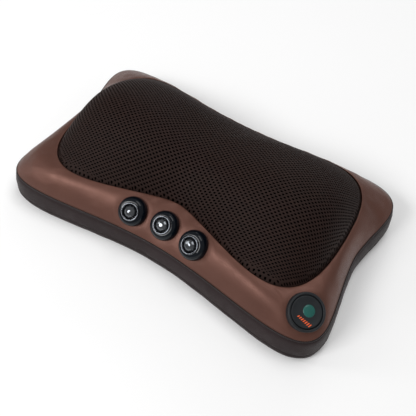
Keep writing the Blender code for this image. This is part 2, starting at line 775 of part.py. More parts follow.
def make_worm(name, sign, right_hand, parent):
    """A single-start worm: a core tube with a helical thread joined on. Local Z runs along +X."""
    half = 0.007
    lead = math.pi * MODULE
    root = WORM_PITCH_R - 1.3 * MODULE
    tip = WORM_PITCH_R + 0.8 * MODULE
    bore = SHAFT_R + GAP
    profile = [(root, half), (root, -half), (bore, -half), (bore, half)]
    worm = turned(name, profile, ACETAL, 10, closed=True)
    per_turn = 9
    turns = 3.0
    steps = round(per_turn * turns)
    root_half = 0.62 * MODULE
    tip_half = 0.28 * MODULE
    section = ((root - 0.0004, -root_half), (tip, -tip_half), (tip, tip_half), (root - 0.0004, root_half))
    rings = []
    for k in range(steps + 1):
        turn = TAU * (k / per_turn - turns / 2)
        climb = lead * turn / TAU
        # Local Z lies along +X and local X along -Z, so the angle is counted from +Y.
        angle = turn if right_hand else -turn
        ring = []
        for radius, offset in section:
            ring.append(Vector((-radius * math.sin(angle), radius * math.cos(angle), climb + offset)))
        rings.append(ring)
    thread = loft(f"add_{name}_thread", rings, None, smooth_angle=0)
    slot = Matrix.Translation((0, 0, sign * ROTOR_X))
    thread.parent = parent
    worm.parent = parent
    worm.matrix_local = slot
    thread.matrix_local = slot
    join(worm, thread)


# --- Rotors -------------------------------------------------------------------------------------
def wheel_outline(height, twist):
    """Trapezoid teeth with a space facing the worm, turned by twist to follow its thread."""
    pitch = TAU / WHEEL_TEETH
    tip = WHEEL_PITCH_R + 0.9 * MODULE
    root = WHEEL_PITCH_R - 1.1 * MODULE
    tip_half = 0.15 * pitch
    root_half = 0.30 * pitch
    points = []
    for k in range(WHEEL_TEETH):
        middle = -TAU / 4 + (k + 0.5) * pitch + twist
        for angle, radius in ((-root_half, root), (-tip_half, tip), (tip_half, tip), (root_half, root)):
            turn = middle + angle
            points.append(Vector((radius * math.cos(turn), radius * math.sin(turn), height)))
    return points


def make_worm_wheel(name, right_hand, parent):
    low = SHAFT_Z - WHEEL_THICK / 2
    high = SHAFT_Z + WHEEL_THICK / 2
    lead_slope = MODULE / (2 * WORM_PITCH_R)
    twist = lead_slope * WHEEL_THICK / 2 / WHEEL_PITCH_R * (1 if right_hand else -1)
    wheel = loft(name, [wheel_outline(low, -twist), wheel_outline(high, twist)], ACETAL, smooth_angle=20)
    drill(wheel, f"cut_{name}_bore", OUTPUT_R + GAP, low - 0.01, high + 0.01, parent.matrix_world, 12)
    place(wheel, None, parent)


def make_output_shaft(name, parent):
    """Runs from the gearbox's footstep to the arm, with a shoulder over the wheel."""
    wheel_top = SHAFT_Z + WHEEL_THICK / 2
    shoulder = BOX_TOP_Z - 0.0041
    top = ARM_Z + ARM_THICK - 0.0005
    profile = [(0.0, top), (OUTPUT_R, top), (OUTPUT_R, shoulder), (0.0062, shoulder),
               (0.0062, wheel_top + GAP), (OUTPUT_R, wheel_top + GAP), (OUTPUT_R, 0.0074), (0.0, 0.0074)]
    place(turned(name, profile, STEEL, 12), None, parent)


def circle_points(x, radius, height, count=20):
    points = []
    for k in range(count):
        turn = TAU * k / count
        points.append((x + radius * math.cos(turn), radius * math.sin(turn), height))
    return points


def make_rotor_arm(name, parent):
    """A flat bar, the hull of a hub and two lobes, bored for the shaft and the two pins."""
    bm = bmesh.new()
    for height in (ARM_Z, ARM_Z + ARM_THICK):
        for x, radius in ((-HEAD_ORBIT_R, ARM_END_R), (0.0, ARM_HUB_R), (HEAD_ORBIT_R, ARM_END_R)):
            for point in circle_points(x, radius, height):
                bm.verts.new(point)
    hull = bmesh.ops.convex_hull(bm, input=bm.verts)
    spare = [v for v in hull["geom_interior"] if isinstance(v, bmesh.types.BMVert)]
    bmesh.ops.delete(bm, geom=spare, context="VERTS")
    bmesh.ops.dissolve_limit(bm, angle_limit=0.01, verts=bm.verts, edges=bm.edges)
    arm = finish(mesh_from(bm, name), name, SHELL_ABS)
    place(arm, None, parent)
    base = parent.matrix_world
    drill(arm, f"cut_{name}_hub", OUTPUT_R + GAP, ARM_Z - 0.01, ARM_Z + 0.02, base)
    for end, x in (("near", -HEAD_ORBIT_R), ("far", HEAD_ORBIT_R)):
        drill(arm, f"cut_{name}_{end}_pin", PIN_R + GAP, ARM_Z - 0.01, ARM_Z + 0.02, base @ at(x, 0), 12)


def make_head_pin(name, x, parent):
    """A pin with a collar that carries the head just off the arm."""
    collar_low = ARM_Z + ARM_THICK + GAP
    collar_high = HEAD_Z - GAP
    top, foot = HEAD_Z + 0.0095, ARM_Z + 0.0005
    profile = [(0.0, top), (PIN_R, top), (PIN_R, collar_high), (PIN_COLLAR_R, collar_high),
               (PIN_COLLAR_R, collar_low), (PIN_R, collar_low), (PIN_R, foot), (0.0, foot)]
    place(turned(name, profile, STEEL, 10), at(x, 0), parent)


def make_massage_head(name, matrix):
    """A rubber dome with a skirt and a blind bore for its pin. It turns freely."""
    shoulder = HEAD_HEIGHT - HEAD_R
    profile = [(0.0, HEAD_HEIGHT)]
    for k in range(1, 6):
        turn = math.radians(90 - 18 * k)
        profile.append((HEAD_R * math.cos(turn), shoulder + HEAD_R * math.sin(turn)))
    bore = PIN_R + RUNNING
    profile += [(HEAD_R, 0.0015), (HEAD_R - 0.0015, 0.0), (bore, 0.0), (bore, 0.010), (0.0, 0.010)]
    place(turned(name, profile, HEAD_RUBBER, 16), matrix)


def make_rotor(side, sign, right_hand):
    """One output: wheel, shaft, arm and pins under an empty on the axis, with its two free heads."""
    turn = Matrix.Rotation(math.radians(ARM_ANGLE), 4, "Z")
    axis = axis_empty(f"{side}_rotor_axis", at(sign * ROTOR_X, ROTOR_Y))
    bpy.context.view_layer.update()
    make_worm_wheel(f"worm_wheel_{side}", right_hand, axis)
    make_output_shaft(f"output_shaft_{side}", axis)
    arm_axis = axis_empty(f"{side}_arm_axis", at(sign * ROTOR_X, ROTOR_Y) @ turn)
    bpy.context.view_layer.update()
    make_rotor_arm(f"rotor_arm_{side}", arm_axis)
    for end, x in (("front", -HEAD_ORBIT_R), ("back", HEAD_ORBIT_R)):
        make_head_pin(f"head_pin_{side}_{end}", x, arm_axis)
        make_massage_head(f"massage_head_{side}_{end}", arm_axis.matrix_world @ at(x, 0, HEAD_Z))


# --- Controls -----------------------------------------------------------------------------------
def make_stud(name, frame):
    """A black dome let into the cover, a chrome ring on it, and a crystal cap inside the ring."""
    height = 0.0088
    sunk = -0.0018
    ring_seat = 0.0068
    body = [(0.0, ring_seat), (0.0092, ring_seat), (0.0114, 0.0050), (0.0131, 0.0020), (STUD_R, -0.0006),
            (STUD_R, sunk), (0.0025, sunk), (0.0025, -0.0100), (0.0, -0.0100)]
    place(turned(f"stud_body_{name}", body, GLOSS_BLACK, 16), frame)
    low = ring_seat + GAP
    ring = [(0.0062, height), (0.0076, height), (0.0085, height - 0.0008), (0.0085, low), (0.0058, low)]
    place(turned(f"stud_ring_{name}", ring, CHROME, 16, closed=True), frame)
    dome = [(0.0, height + 0.0014), (0.0028, height + 0.0010), (0.0048, height - 0.0001), (0.0054, low),
            (0.0, low)]
    place(turned(f"stud_crystal_{name}", dome, CRYSTAL, 16), frame)


def make_power_button():
    inner = BUTTON_INNER_R
    crown = (inner + BUTTON_R) / 2
    bezel = [(crown - 0.0004, 0.0026), (crown + 0.0004, 0.0026), (BUTTON_R, 0.0014), (BUTTON_R, -0.0085),
             (0.0105, -0.0085), (0.0105, -0.0072), (inner, -0.0072), (inner, 0.0018)]
    place(turned("button_bezel", bezel, RUBBER, 20, closed=True), BUTTON_FRAME)
    cap_r = inner - GAP
    cap = [(0.0, 0.0021), (0.0070, 0.0019), (0.0115, 0.0013), (cap_r, 0.0006), (cap_r, -0.0010),
           (0.0025, -0.0010), (0.0025, -0.0022), (0.0, -0.0022)]
    button = place(turned("button_cap", cap, RUBBER, 20), BUTTON_FRAME)
    bpy.context.view_layer.update()
    lens_at = BUTTON_FRAME @ at(LENS_X, LENS_Y)
    drill(button, "cut_cap_lens", LENS_HOLE_R, LENS_SEAT, 0.01, lens_at, 16)
    lens_r, lens_low = LENS_HOLE_R - GAP, LENS_SEAT + GAP
    lens = [(0.0, 0.0027), (0.0036, 0.0025), (lens_r, 0.0020), (lens_r, lens_low), (0.0, lens_low)]
    place(turned("button_lens", lens, TEAL, 16), lens_at)
    mark_at = BUTTON_FRAME @ at(MARK_X, MARK_Y) @ Matrix.Rotation(math.radians(MARK_TURN), 4, "Z")
    mark = ((-MARK_HALF_X, -MARK_HALF_Y, MARK_SEAT), (MARK_HALF_X, MARK_HALF_Y, 0.0020))
    place(box("button_mark", *mark, ORANGE), mark_at)
    half_x, half_y = MARK_HALF_X + GAP, MARK_HALF_Y + GAP
    cutter = box("cut_cap_mark", (-half_x, -half_y, MARK_SEAT - GAP), (half_x, half_y, 0.01), None)
    as_cutter(cutter, button, mark_at)


def make_switch():
    low = SWITCH_BOARD_TOP + GAP
    board = rod("switch_board", 0.0128, SWITCH_BOARD_TOP - 0.0012, SWITCH_BOARD_TOP, BOARD, 20)
    place(board, BUTTON_FRAME)
    body = box("tact_switch", (-0.003, -0.003, low), (0.003, 0.003, -0.0046), SHELL_ABS)
    place(body, BUTTON_FRAME)
    join(body, rod("add_plunger", 0.0016, -0.0050, -0.0040, None, 12), BUTTON_FRAME)


# --- Electrics ----------------------------------------------------------------------------------
def make_control_board():
    box("control_board", (0.100, -0.031, BOARD_Z), (0.136, 0.041, BOARD_Z + 0.0016), BOARD)


def make_dc_jack():
    """A barrel socket through the tray and the band, its contact pin at the bottom of the bore."""
    bore, barrel, pin = 0.0032, JACK_HOLE_R - GAP, 0.0010
    floor, mouth = -0.0130, 0.0030
    profile = [(0.0, floor + 0.004), (pin, floor + 0.004), (pin, floor), (bore, floor), (bore, mouth),
               (barrel, mouth), (barrel, floor - 0.003), (0.0, floor - 0.003)]
    place(turned("dc_jack", profile, SHELL_ABS, 14), JACK_FRAME)


def make_warming_lamp(name, y):
    deck, foot = DECK_Z + GAP, DECK_Z - 0.0020
    flange_r, stem_r = 0.0064, LAMP_HOLE_R - 0.0004
    profile = [(0.0, deck + 0.0052), (0.0028, deck + 0.0044), (0.0043, deck + 0.0022),
               (0.0045, deck + 0.0008), (flange_r, deck + 0.0008), (flange_r, deck), (stem_r, deck),
               (stem_r, foot), (0.0, foot)]
    place(turned(name, profile, RED_LAMP, 12), at(0.0, y))


# --- Assembly -----------------------------------------------------------------------------------
def main():
    make_top_cover()
    make_side_band()
    make_jack_plate()
    seam_cord("upper_piping", UPPER_CORD_R, 0.0004, lambda u, v: seam_z(u, v) - UPPER_SLOT / 2)
    seam_cord("lower_piping", LOWER_CORD_R, BAND_BULGE - 0.0002, lambda u, v: LOWER_CORD_Z)
    make_bottom_cover()
    make_back_strap()
    make_mesh_cover()
    make_mesh_lining()

    make_top_shell()
    make_base_tray()
    for name, (x, y) in SCREW_SPOTS.items():
        make_housing_screw(name, x, y)

    make_gearbox_lower()
    make_gearbox_upper()
    for side, sign in SIDES:
        make_shaft_bush(f"shaft_bush_{side}", sign)
        make_output_bush(f"output_bush_{side}", sign)

    make_motor_can()
    make_motor_end_cap()
    motor_axis = axis_empty("motor_axis", MOTOR_FRAME)
    bpy.context.view_layer.update()
    make_drive_shaft(motor_axis)
    make_armature(motor_axis)
    make_worm("worm_left", -1, False, motor_axis)
    make_worm("worm_right", 1, True, motor_axis)
    for side, sign in SIDES:
        make_rotor(side, sign, right_hand=side == "right")

    for name, frame in STUD_FRAMES.items():
        make_stud(name, frame)
    make_power_button()
    make_switch()
    make_control_board()
    make_dc_jack()
    for name, y in LAMP_SPOTS.items():
        make_warming_lamp(name, y)


main()
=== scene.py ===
import math

import bmesh
import bpy
import numpy as np
from mathutils import Matrix, Vector, noise


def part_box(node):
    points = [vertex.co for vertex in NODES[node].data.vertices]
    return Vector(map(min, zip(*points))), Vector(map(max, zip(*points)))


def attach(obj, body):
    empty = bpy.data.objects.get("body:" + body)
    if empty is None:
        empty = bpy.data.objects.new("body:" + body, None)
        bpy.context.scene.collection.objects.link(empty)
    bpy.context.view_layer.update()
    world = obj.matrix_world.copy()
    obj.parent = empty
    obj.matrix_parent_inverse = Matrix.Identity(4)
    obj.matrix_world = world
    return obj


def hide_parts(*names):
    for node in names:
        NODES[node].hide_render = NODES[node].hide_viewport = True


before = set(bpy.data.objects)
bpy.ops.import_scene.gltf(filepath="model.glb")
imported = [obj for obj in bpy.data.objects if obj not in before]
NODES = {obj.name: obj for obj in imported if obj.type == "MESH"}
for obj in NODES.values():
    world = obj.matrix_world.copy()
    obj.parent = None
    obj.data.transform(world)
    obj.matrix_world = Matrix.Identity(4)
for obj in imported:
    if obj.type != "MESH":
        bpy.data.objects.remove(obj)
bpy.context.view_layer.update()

# --- Shape of the sewn shell, in metres, as the CAD has it ----------------------------------------
CENTRE_Y = 0.0073
WAIST_BEND = 0.06
SEAM_Z = 0.0264
SEAM_CORNER_RISE = 0.006
FABRIC = 0.0024
BAND_BULGE = 0.0042
UPPER_SLOT = 0.0019
LOWER_CORD_Z = 0.0078
CROWN_FRONT = 2.2
CROWN_BACK = 1.3
WINDOW_Z_FRONT = 0.0488
WINDOW_Z_BACK = 0.0442
DOME_RISE = 0.0262
MOUND_RISE = 0.0190
MOUND_X = 0.077
MOUND_Y = -0.001
MOUND_SPREAD_X = 0.044
MOUND_SPREAD_Y = 0.031
DOME_STEEP_X = 13.0
DOME_STEEP_Y = 2.6
DOME_ROUNDING = 1.2

# --- Detail that only the looks have --------------------------------------------------------------
WALK_X = 200  # points along the outline's long and short sides
WALK_Y = 120
COVER_ROWS = 30
DIMPLE = 0.0007  # the cover is drawn in round a fitting by this much
DIMPLE_WIDE = 0.0060
HOLE_PITCH_X = 0.0046  # air-mesh: staggered rows of holes
HOLE_PITCH_Y = 0.0021
MESH_THICK = 0.0011
HOLE_X = 0.00125  # half width and half depth of a hole
HOLE_Y = 0.00080
HOLE_RIM_DROP = 0.00020  # a hole's rim lies this far under the mesh's face
MESH_REACH = 0.988  # a cell whose middle lies beyond this share of the window is left out
MESH_TURN = math.radians(6)  # the rows of holes run this far off the pillow's length
LINING_DEPTH = 0.0022
LINING_THICK = 0.0005
LINING_SHRINK = 0.992
NORMAL_STEP = 1e-3
WARP_POINTS = 400
CORD_SIDES = 8
GEM_SIDES = 10
RIB = 0.00012  # height of the strap's ribs
HEM_BEND = 0.0009
SEAM_HEM = ((2.6, 1.2), (1.0, 1.0), (0.25, 0.75))  # in bends: how far in and down each row of it lies
WINDOW_HEM = ((0.35, 0.15), (0.6, 0.7), (0.5, 2.6))
UNDERSIDE_STEP = 4  # the cover's underside has every fourth row of its face
FIND_ROUNDS = 60
FIND_SHARE_U = 0.7  # how much of its error a round of Outline.find takes off
FIND_SHARE_V = 0.5

# The cloth simulation on the padded cover. Its cloth sinks more than it rises: the relief is shallow.
CLOTH_ROWS = 13
CLOTH_STEP = 4  # every fourth point of the outline
CLOTH_FRAMES = 24
CLOTH_PRESSURE = 2.0
CLOTH_SLACK = 0.03
CLOTH_SETTINGS = {"quality": 6, "mass": 0.2, "tension_stiffness": 25.0, "compression_stiffness": 25.0,
                  "shear_stiffness": 10.0, "bending_stiffness": 0.3}
SEWN_MARGIN = 0.004
PUFF = 0.0008  # the most that the simulation lifts the cover
INWARD_PART = 3  # it sinks the cover by at most PUFF divided by this
SMOOTH_PASSES = 3

TAU = 2 * math.pi


# --- The outlines and surfaces --------------------------------------------------------------------
class Outline:
    """A superellipse whose waist and ends differ. u and v run from -1 to 1 across it, as arrays."""

    def __init__(self, power, end_x, corner_x, x_power, front, back):
        self.power = power
        self.end_x = end_x
        self.corner_x = corner_x
        self.x_power = x_power
        self.front = front
        self.back = back

    def point(self, u, v):
        x = u * (self.end_x + (self.corner_x - self.end_x) * np.abs(v) ** self.x_power)
        bow = (np.hypot(u, WAIST_BEND) - WAIST_BEND) / (math.hypot(1, WAIST_BEND) - WAIST_BEND)
        front = self.front[0] + (self.front[1] - self.front[0]) * bow ** self.front[2]
        back = self.back[0] + (self.back[1] - self.back[0]) * bow ** self.back[2]
        return x, CENTRE_Y + v * np.where(v < 0, front, back)

    def uv(self, s, t):
        size = np.maximum(np.abs(s), np.abs(t))
        norm = np.maximum(np.abs(s) ** self.power + np.abs(t) ** self.power, 1e-12) ** (1 / self.power)
        return s * size / norm, t * size / norm

    def radius(self, u, v):
        return (np.abs(u) ** self.power + np.abs(v) ** self.power) ** (1 / self.power)

    def find(self, x, y):
        """The (u, v) of a point, by repeated substitution."""
        u = x / self.end_x
        v = (y - CENTRE_Y) / self.front[0]
        for _ in range(FIND_ROUNDS):
            px, py = self.point(u, v)
            wide = self.end_x + (self.corner_x - self.end_x) * np.abs(v) ** self.x_power
            deep = np.where(v < 0, self.front[0], self.back[0])
            u = u + FIND_SHARE_U * (x - px) / wide
            v = v + FIND_SHARE_V * (y - py) / deep
        return u, v


CASE = Outline(4.85, 0.1563, 0.1818, 1.53, (0.0889, 0.1200, 1.48), (0.0796, 0.0975, 1.1))
WINDOW = Outline(4.09, 0.1434, 0.1312, 2.0, (0.0526, 0.0990, 1.12), (0.0690, 0.0940, 2.3))


def square_walk():
    """Points round the square, anticlockwise from its front left corner."""
    along_x = np.linspace(-1, 1, WALK_X, endpoint=False)
    along_y = np.linspace(-1, 1, WALK_Y, endpoint=False)
    s = np.concatenate([along_x, np.ones(WALK_Y), -along_x, -np.ones(WALK_Y)])
    t = np.concatenate([-np.ones(WALK_X), along_y, np.ones(WALK_X), -along_y])
    return s, t


def seam_z(u, v):
    return SEAM_Z + SEAM_CORNER_RISE * (u * v) ** 2


def window_z(u, v):
    middle = (WINDOW_Z_FRONT + WINDOW_Z_BACK) / 2
    return middle + (WINDOW_Z_BACK - WINDOW_Z_FRONT) / 2 * v - 0.001 * (1 - np.abs(u)) ** 2


def cover_points(s, t, rise):
    """Points of the crowned frame cover: rise is 0 at the seam and 1 at the window's edge."""
    u, v = CASE.uv(s, t)
    a, b = WINDOW.uv(s, t)
    outer = np.stack([*CASE.point(u, v), seam_z(u, v)], -1)
    inner = np.stack([*WINDOW.point(a, b), window_z(a, b)], -1)
    crown = CROWN_FRONT + (CROWN_BACK - CROWN_FRONT) * np.clip(2 * v, 0, 1)
    lift = 1 - np.maximum(1 - rise, 0) ** crown
    points = outer + (inner - outer) * rise
    points[:, 2] = outer[:, 2] + (inner[:, 2] - outer[:, 2]) * lift
    return points


def dome_z(u, v):
    """Height of the air-mesh over the window."""
    radius = np.clip(WINDOW.radius(u, v), 1e-6, 1.0)
    pull = radius ** 2
    edge = window_z(u / radius, v / radius) * pull + window_z(0.0, 0.0) * (1 - pull)
    square = np.maximum(u * u + v * v, 1e-12)
    spread = np.sqrt(square) / radius
    rounded = np.minimum(radius * (1 + (spread - 1) * (1 - radius ** 2) * DOME_ROUNDING), 1.0)
    steep = DOME_STEEP_Y + (DOME_STEEP_X - DOME_STEEP_Y) * u * u / square
    x, y = WINDOW.point(u, v)
    mound = np.zeros_like(x)
    for side in (-1, 1):
        across = (x - side * MOUND_X) / MOUND_SPREAD_X
        deep = (y - MOUND_Y) / MOUND_SPREAD_Y
        mound = mound + np.exp(-0.5 * (across ** 2 + deep ** 2))
    return edge + (DOME_RISE + MOUND_RISE * mound) * (1 - rounded ** steep)


# --- Making meshes --------------------------------------------------------------------------------
def new_piece(name, points, faces, look, smooth=40, body="pillow"):
    mesh = bpy.data.meshes.new(name)
    mesh.from_pydata([tuple(p) for p in points], [], [tuple(f) for f in faces])
    mesh.validate()
    mesh.materials.append(look)
    mesh.shade_smooth()
    if smooth:
        mesh.set_sharp_from_angle(angle=math.radians(smooth))
    made = bpy.data.objects.new(name, mesh)
    bpy.context.scene.collection.objects.link(made)
    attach(made, body)
    return made


def ring_faces(rows, count, wrap):
    """Quads between rings of points; wrap joins the last ring to the first."""
    faces = []
    pairs = [(r, r + 1) for r in range(rows - 1)] + ([(rows - 1, 0)] if wrap else [])
    for low, high in pairs:
        for i in range(count):
            j = (i + 1) % count
            faces.append((low * count + i, low * count + j, high * count + j, high * count + i))
    return faces


def turn_outward(piece):
    bm = bmesh.new()
    bm.from_mesh(piece.data)
    bmesh.ops.recalc_face_normals(bm, faces=bm.faces)
    if bm.calc_volume(signed=True) < 0:
        bmesh.ops.reverse_faces(bm, faces=bm.faces)
    bm.to_mesh(piece.data)
    bm.free()
    return piece


def lathe(name, profile, look, matrix, body="pillow", count=72, smooth=40):
    """A solid of revolution about the matrix's Z, from (radius, height) points. Radius 0 closes an end."""
    points, starts = [], []
    for radius, height in profile:
        starts.append(len(points))
        if radius == 0:
            points.append(matrix @ Vector((0, 0, height)))
            continue
        for k in range(count):
            turn = TAU * k / count
            points.append(matrix @ Vector((radius * math.cos(turn), radius * math.sin(turn), height)))
    faces = []
    closed = profile[0][0] != 0
    steps = list(range(len(profile) - 1)) + ([len(profile) - 1] if closed else [])
    for a in steps:
        b = (a + 1) % len(profile)
        for k in range(count):
            j = (k + 1) % count
            top = [starts[a]] if profile[a][0] == 0 else [starts[a] + k, starts[a] + j]
            low = [starts[b]] if profile[b][0] == 0 else [starts[b] + j, starts[b] + k]
            faces.append(top + low)
    return turn_outward(new_piece(name, points, faces, look, smooth, body))


def arc(centre, radius, start, end, steps):
    """Profile points on a circle, from one angle in degrees to another."""
    found = []
    for k in range(steps + 1):
        turn = math.radians(start + (end - start) * k / steps)
        found.append((centre[0] + radius * math.cos(turn), centre[1] + radius * math.sin(turn)))
    return found


def frame_of(node, low):
    """The frame of a turned CAD node: its axis by least spread, its lowest point at a known height."""
    points = np.array([v.co for v in NODES[node].data.vertices], float)
    middle = points.mean(0)
    normal = np.linalg.svd(points - middle, full_matrices=False)[2][-1]
    normal = normal if normal[2] > 0 else -normal
    heights = (points - middle) @ normal
    origin = Vector(middle + normal * (heights.min() - low))
    normal = Vector(normal)
    side = Vector((1, 0, 0))
    side = (side - normal * side.dot(normal)).normalized()
    made = Matrix((side, normal.cross(side), normal)).transposed().to_4x4()
    made.translation = origin
    return made


def cut(piece, cutter, operation="DIFFERENCE"):
    """Cuts the cutter from the piece, applies it, and removes the cutter."""
    boolean = piece.modifiers.new("cut", "BOOLEAN")
    boolean.operation = operation
    boolean.solver = "EXACT"
    boolean.object = cutter
    bpy.context.view_layer.update()
    graph = bpy.context.evaluated_depsgraph_get()
    mesh = bpy.data.meshes.new_from_object(piece.evaluated_get(graph))
    piece.modifiers.clear()
    piece.data = mesh
    bpy.data.objects.remove(cutter)
    return piece


def loose(name, bm):
    """An object made of the bmesh: a cutter or the floor, and not a piece of the frame."""
    mesh = bpy.data.meshes.new(name)
    bm.to_mesh(mesh)
    bm.free()
    made = bpy.data.objects.new(name, mesh)
    bpy.context.scene.collection.objects.link(made)
    return made


def drum(matrix, radius, low, high, count=96):
    bm = bmesh.new()
    middle = matrix @ Matrix.Translation((0, 0, (low + high) / 2))
    bmesh.ops.create_cone(bm, cap_ends=True, segments=count, radius1=radius, radius2=radius,
                          depth=high - low, matrix=middle)
    return loose("drum", bm)


def slab(x0, y0, z0, x1, y1, z1):
    bm = bmesh.new()
    middle = Matrix.Translation(((x0 + x1) / 2, (y0 + y1) / 2, (z0 + z1) / 2))
    size = Matrix.Diagonal((x1 - x0, y1 - y0, z1 - z0, 1.0))
    bmesh.ops.create_cube(bm, size=1.0, matrix=middle @ size)
    return loose("slab", bm)


def sheet_faces(count_x, count_y):
    """Faces of a sheet of two layers, each (count_x + 1) by (count_y + 1) points, closed round its rim."""
    wide = count_x + 1
    layer = wide * (count_y + 1)
    faces = []
    for j in range(count_y):
        for i in range(count_x):
            a = j * wide + i
            faces.append((a, a + 1, a + wide + 1, a + wide))
            faces.append((layer + a, layer + a + wide, layer + a + wide + 1, layer + a + 1))
    rim = list(range(wide)) + [j * wide + count_x for j in range(1, count_y + 1)]
    rim += [count_y * wide + i for i in range(count_x - 1, -1, -1)]
    rim += [j * wide for j in range(count_y - 1, 0, -1)]
    for a, b in zip(rim, rim[1:] + rim[:1]):
        faces.append((a, a + layer, b + layer, b))
    return faces


# --- Materials ------------------------------------------------------------------------------------
NOISE = "ShaderNodeTexNoise"
VORONOI = "ShaderNodeTexVoronoi"
WAVE = "ShaderNodeTexWave"
NOISE_LOW = 0.3  # most of a noise texture's values lie between these two
NOISE_HIGH = 0.7


class Look:
    """A Principled material with textures in object space, so a length in it is a length on the object."""

    def __init__(self, name, **inputs):
        self.material = bpy.data.materials.new(name)
        self.material.use_nodes = True
        self.nodes = self.material.node_tree.nodes
        self.links = self.material.node_tree.links
        self.shader = self.nodes["Principled BSDF"]
        self.place = self.nodes.new("ShaderNodeTexCoord").outputs["Object"]
        self.height = None
        for key, value in inputs.items():
            self.shader.inputs[key.replace("_", " ")].default_value = value

    def texture(self, kind, size, **settings):
        """A noise, voronoi or wave texture whose features are about size metres across."""
        made = self.nodes.new(kind)
        self.links.new(self.place, made.inputs["Vector"])
        made.inputs["Scale"].default_value = 1 / size
        for key, value in settings.items():
            if key in made.inputs:
                made.inputs[key].default_value = value
            else:
                setattr(made, key, value)
        return made

    def ramp(self, source, stops):
        made = self.nodes.new("ShaderNodeValToRGB")
        self.links.new(source, made.inputs["Fac"])
        while len(made.color_ramp.elements) < len(stops):
            made.color_ramp.elements.new(0.5)
        for element, (where, colour) in zip(made.color_ramp.elements, stops):
            element.position = where
            element.color = (*colour, 1.0)
        return made.outputs["Color"]

    def colour(self, source, dark, light):
        shades = self.ramp(source, [(NOISE_LOW, dark), (NOISE_HIGH, light)])
        self.links.new(shades, self.shader.inputs["Base Color"])

    def rough(self, source, low, high):
        made = self.nodes.new("ShaderNodeMapRange")
        made.inputs["From Min"].default_value = NOISE_LOW
        made.inputs["From Max"].default_value = NOISE_HIGH
        made.inputs["To Min"].default_value = low
        made.inputs["To Max"].default_value = high
        self.links.new(source, made.inputs["Value"])
        self.links.new(made.outputs["Result"], self.shader.inputs["Roughness"])

    def bump(self, source, depth, strength):
        """Adds a relief of that depth in metres on top of the ones before it."""
        made = self.nodes.new("ShaderNodeBump")
        made.inputs["Distance"].default_value = depth
        made.inputs["Strength"].default_value = strength
        self.links.new(source, made.inputs["Height"])
        if self.height is not None:
            self.links.new(self.height, made.inputs["Normal"])
        self.height = made.outputs["Normal"]
        self.links.new(self.height, self.shader.inputs["Normal"])


def leather(name, dark, light, roughness, metallic, grain, depth, level):
    look = Look(name, Metallic=metallic, Specular_IOR_Level=level)
    cloud = look.texture(NOISE, 0.035, Detail=3.0)
    look.colour(cloud.outputs["Fac"], dark, light)
    patch = look.texture(NOISE, 0.006, Detail=4.0)
    look.rough(patch.outputs["Fac"], roughness - 0.05, roughness + 0.06)
    cells = look.texture(VORONOI, grain, feature="DISTANCE_TO_EDGE")
    look.bump(look.ramp(cells.outputs["Distance"], [(0.0, (0, 0, 0)), (0.12, (1, 1, 1))]), depth, 0.5)
    fine = look.texture(NOISE, grain * 0.6, Detail=2.0)
    look.bump(fine.outputs["Fac"], depth * 0.8, 0.5)
    return look.material


def moulded(name, dark, light, roughness, metallic=0.0, depth=0.00002, size=0.0006, **inputs):
    look = Look(name, Metallic=metallic, **inputs)
    cloud = look.texture(NOISE, 0.012, Detail=3.0)
    look.colour(cloud.outputs["Fac"], dark, light)
    patch = look.texture(NOISE, 0.003, Detail=3.0)
    look.rough(patch.outputs["Fac"], roughness * 0.9, roughness * 1.15)
    if depth:
        fine = look.texture(NOISE, size, Detail=2.0)
        look.bump(fine.outputs["Fac"], depth, 0.4)
    return look.material


def woven(name, dark, light, thread, depth, roughness=0.85, sheen=0.3, level=0.3):
    look = Look(name, Roughness=roughness, Sheen_Weight=sheen, Sheen_Roughness=0.4, Specular_IOR_Level=level)
    cloud = look.texture(NOISE, 0.004, Detail=4.0)
    look.colour(cloud.outputs["Fac"], dark, light)
    for direction in ("X", "Y"):
        wave = look.texture(WAVE, thread * TAU / 2, bands_direction=direction, Distortion=0.6)
        look.bump(wave.outputs["Fac"], depth, 0.6)
    return look.material


# Each has the dark and the light end of its colour, then its roughness. Sizes and depths are in metres.
BRONZE = leather("bronze_leatherette", (0.099, 0.0405, 0.0282), (0.122, 0.0515, 0.0365), 0.38, 0.45, 0.0007,
                 0.00006, level=0.35)
DARK_LEATHER = leather("dark_leatherette", (0.0150, 0.0078, 0.0082), (0.0215, 0.0118, 0.0125), 0.52, 0.0,
                       0.0011, 0.00011, level=0.20)
AIR_MESH = woven("air_mesh", (0.0120, 0.0048, 0.0034), (0.0190, 0.0080, 0.0056), 0.00045, 0.00006,
                 0.62, 0.0, 0.16)
# Near-black, darker than real cloth: painted shade for the air-mesh's holes. It colours the lining sheet, the
# holes' walls and the mesh's underside.
HOLE_SHADE_LINING = woven("hole_shade_lining", (0.0010, 0.0006, 0.0006), (0.0020, 0.0012, 0.0011), 0.0006, 0.00005,
                     0.95, 0.0, 0.0)
STRAP_CLOTH = woven("strap_webbing", (0.010, 0.009, 0.009), (0.018, 0.016, 0.016), 0.0008, 0.0001)
PIPING = woven("seam_cord", (0.010, 0.006, 0.006), (0.016, 0.010, 0.010), 0.0005, 0.00006, 0.7)
SHELL_ABS = moulded("shell_abs", (0.024, 0.024, 0.026), (0.036, 0.036, 0.038), 0.48)
GEARBOX_ABS = moulded("gearbox_abs", (0.46, 0.46, 0.44), (0.56, 0.56, 0.53), 0.50)
ACETAL = moulded("acetal", (0.72, 0.71, 0.66), (0.80, 0.79, 0.74), 0.42)
HEAD_RUBBER = moulded("head_rubber", (0.38, 0.055, 0.022), (0.48, 0.080, 0.035), 0.45, 0.0, 0.00004,
                      0.0008)
STEEL = moulded("steel", (0.50, 0.51, 0.52), (0.60, 0.61, 0.62), 0.28, 1.0, 0.00001, 0.0003)
BRASS = moulded("sintered_bronze", (0.48, 0.31, 0.13), (0.60, 0.40, 0.18), 0.38, 1.0, 0.00003, 0.0003)
COPPER = moulded("copper", (0.52, 0.20, 0.09), (0.66, 0.29, 0.15), 0.34, 1.0, 0.00005, 0.0004)
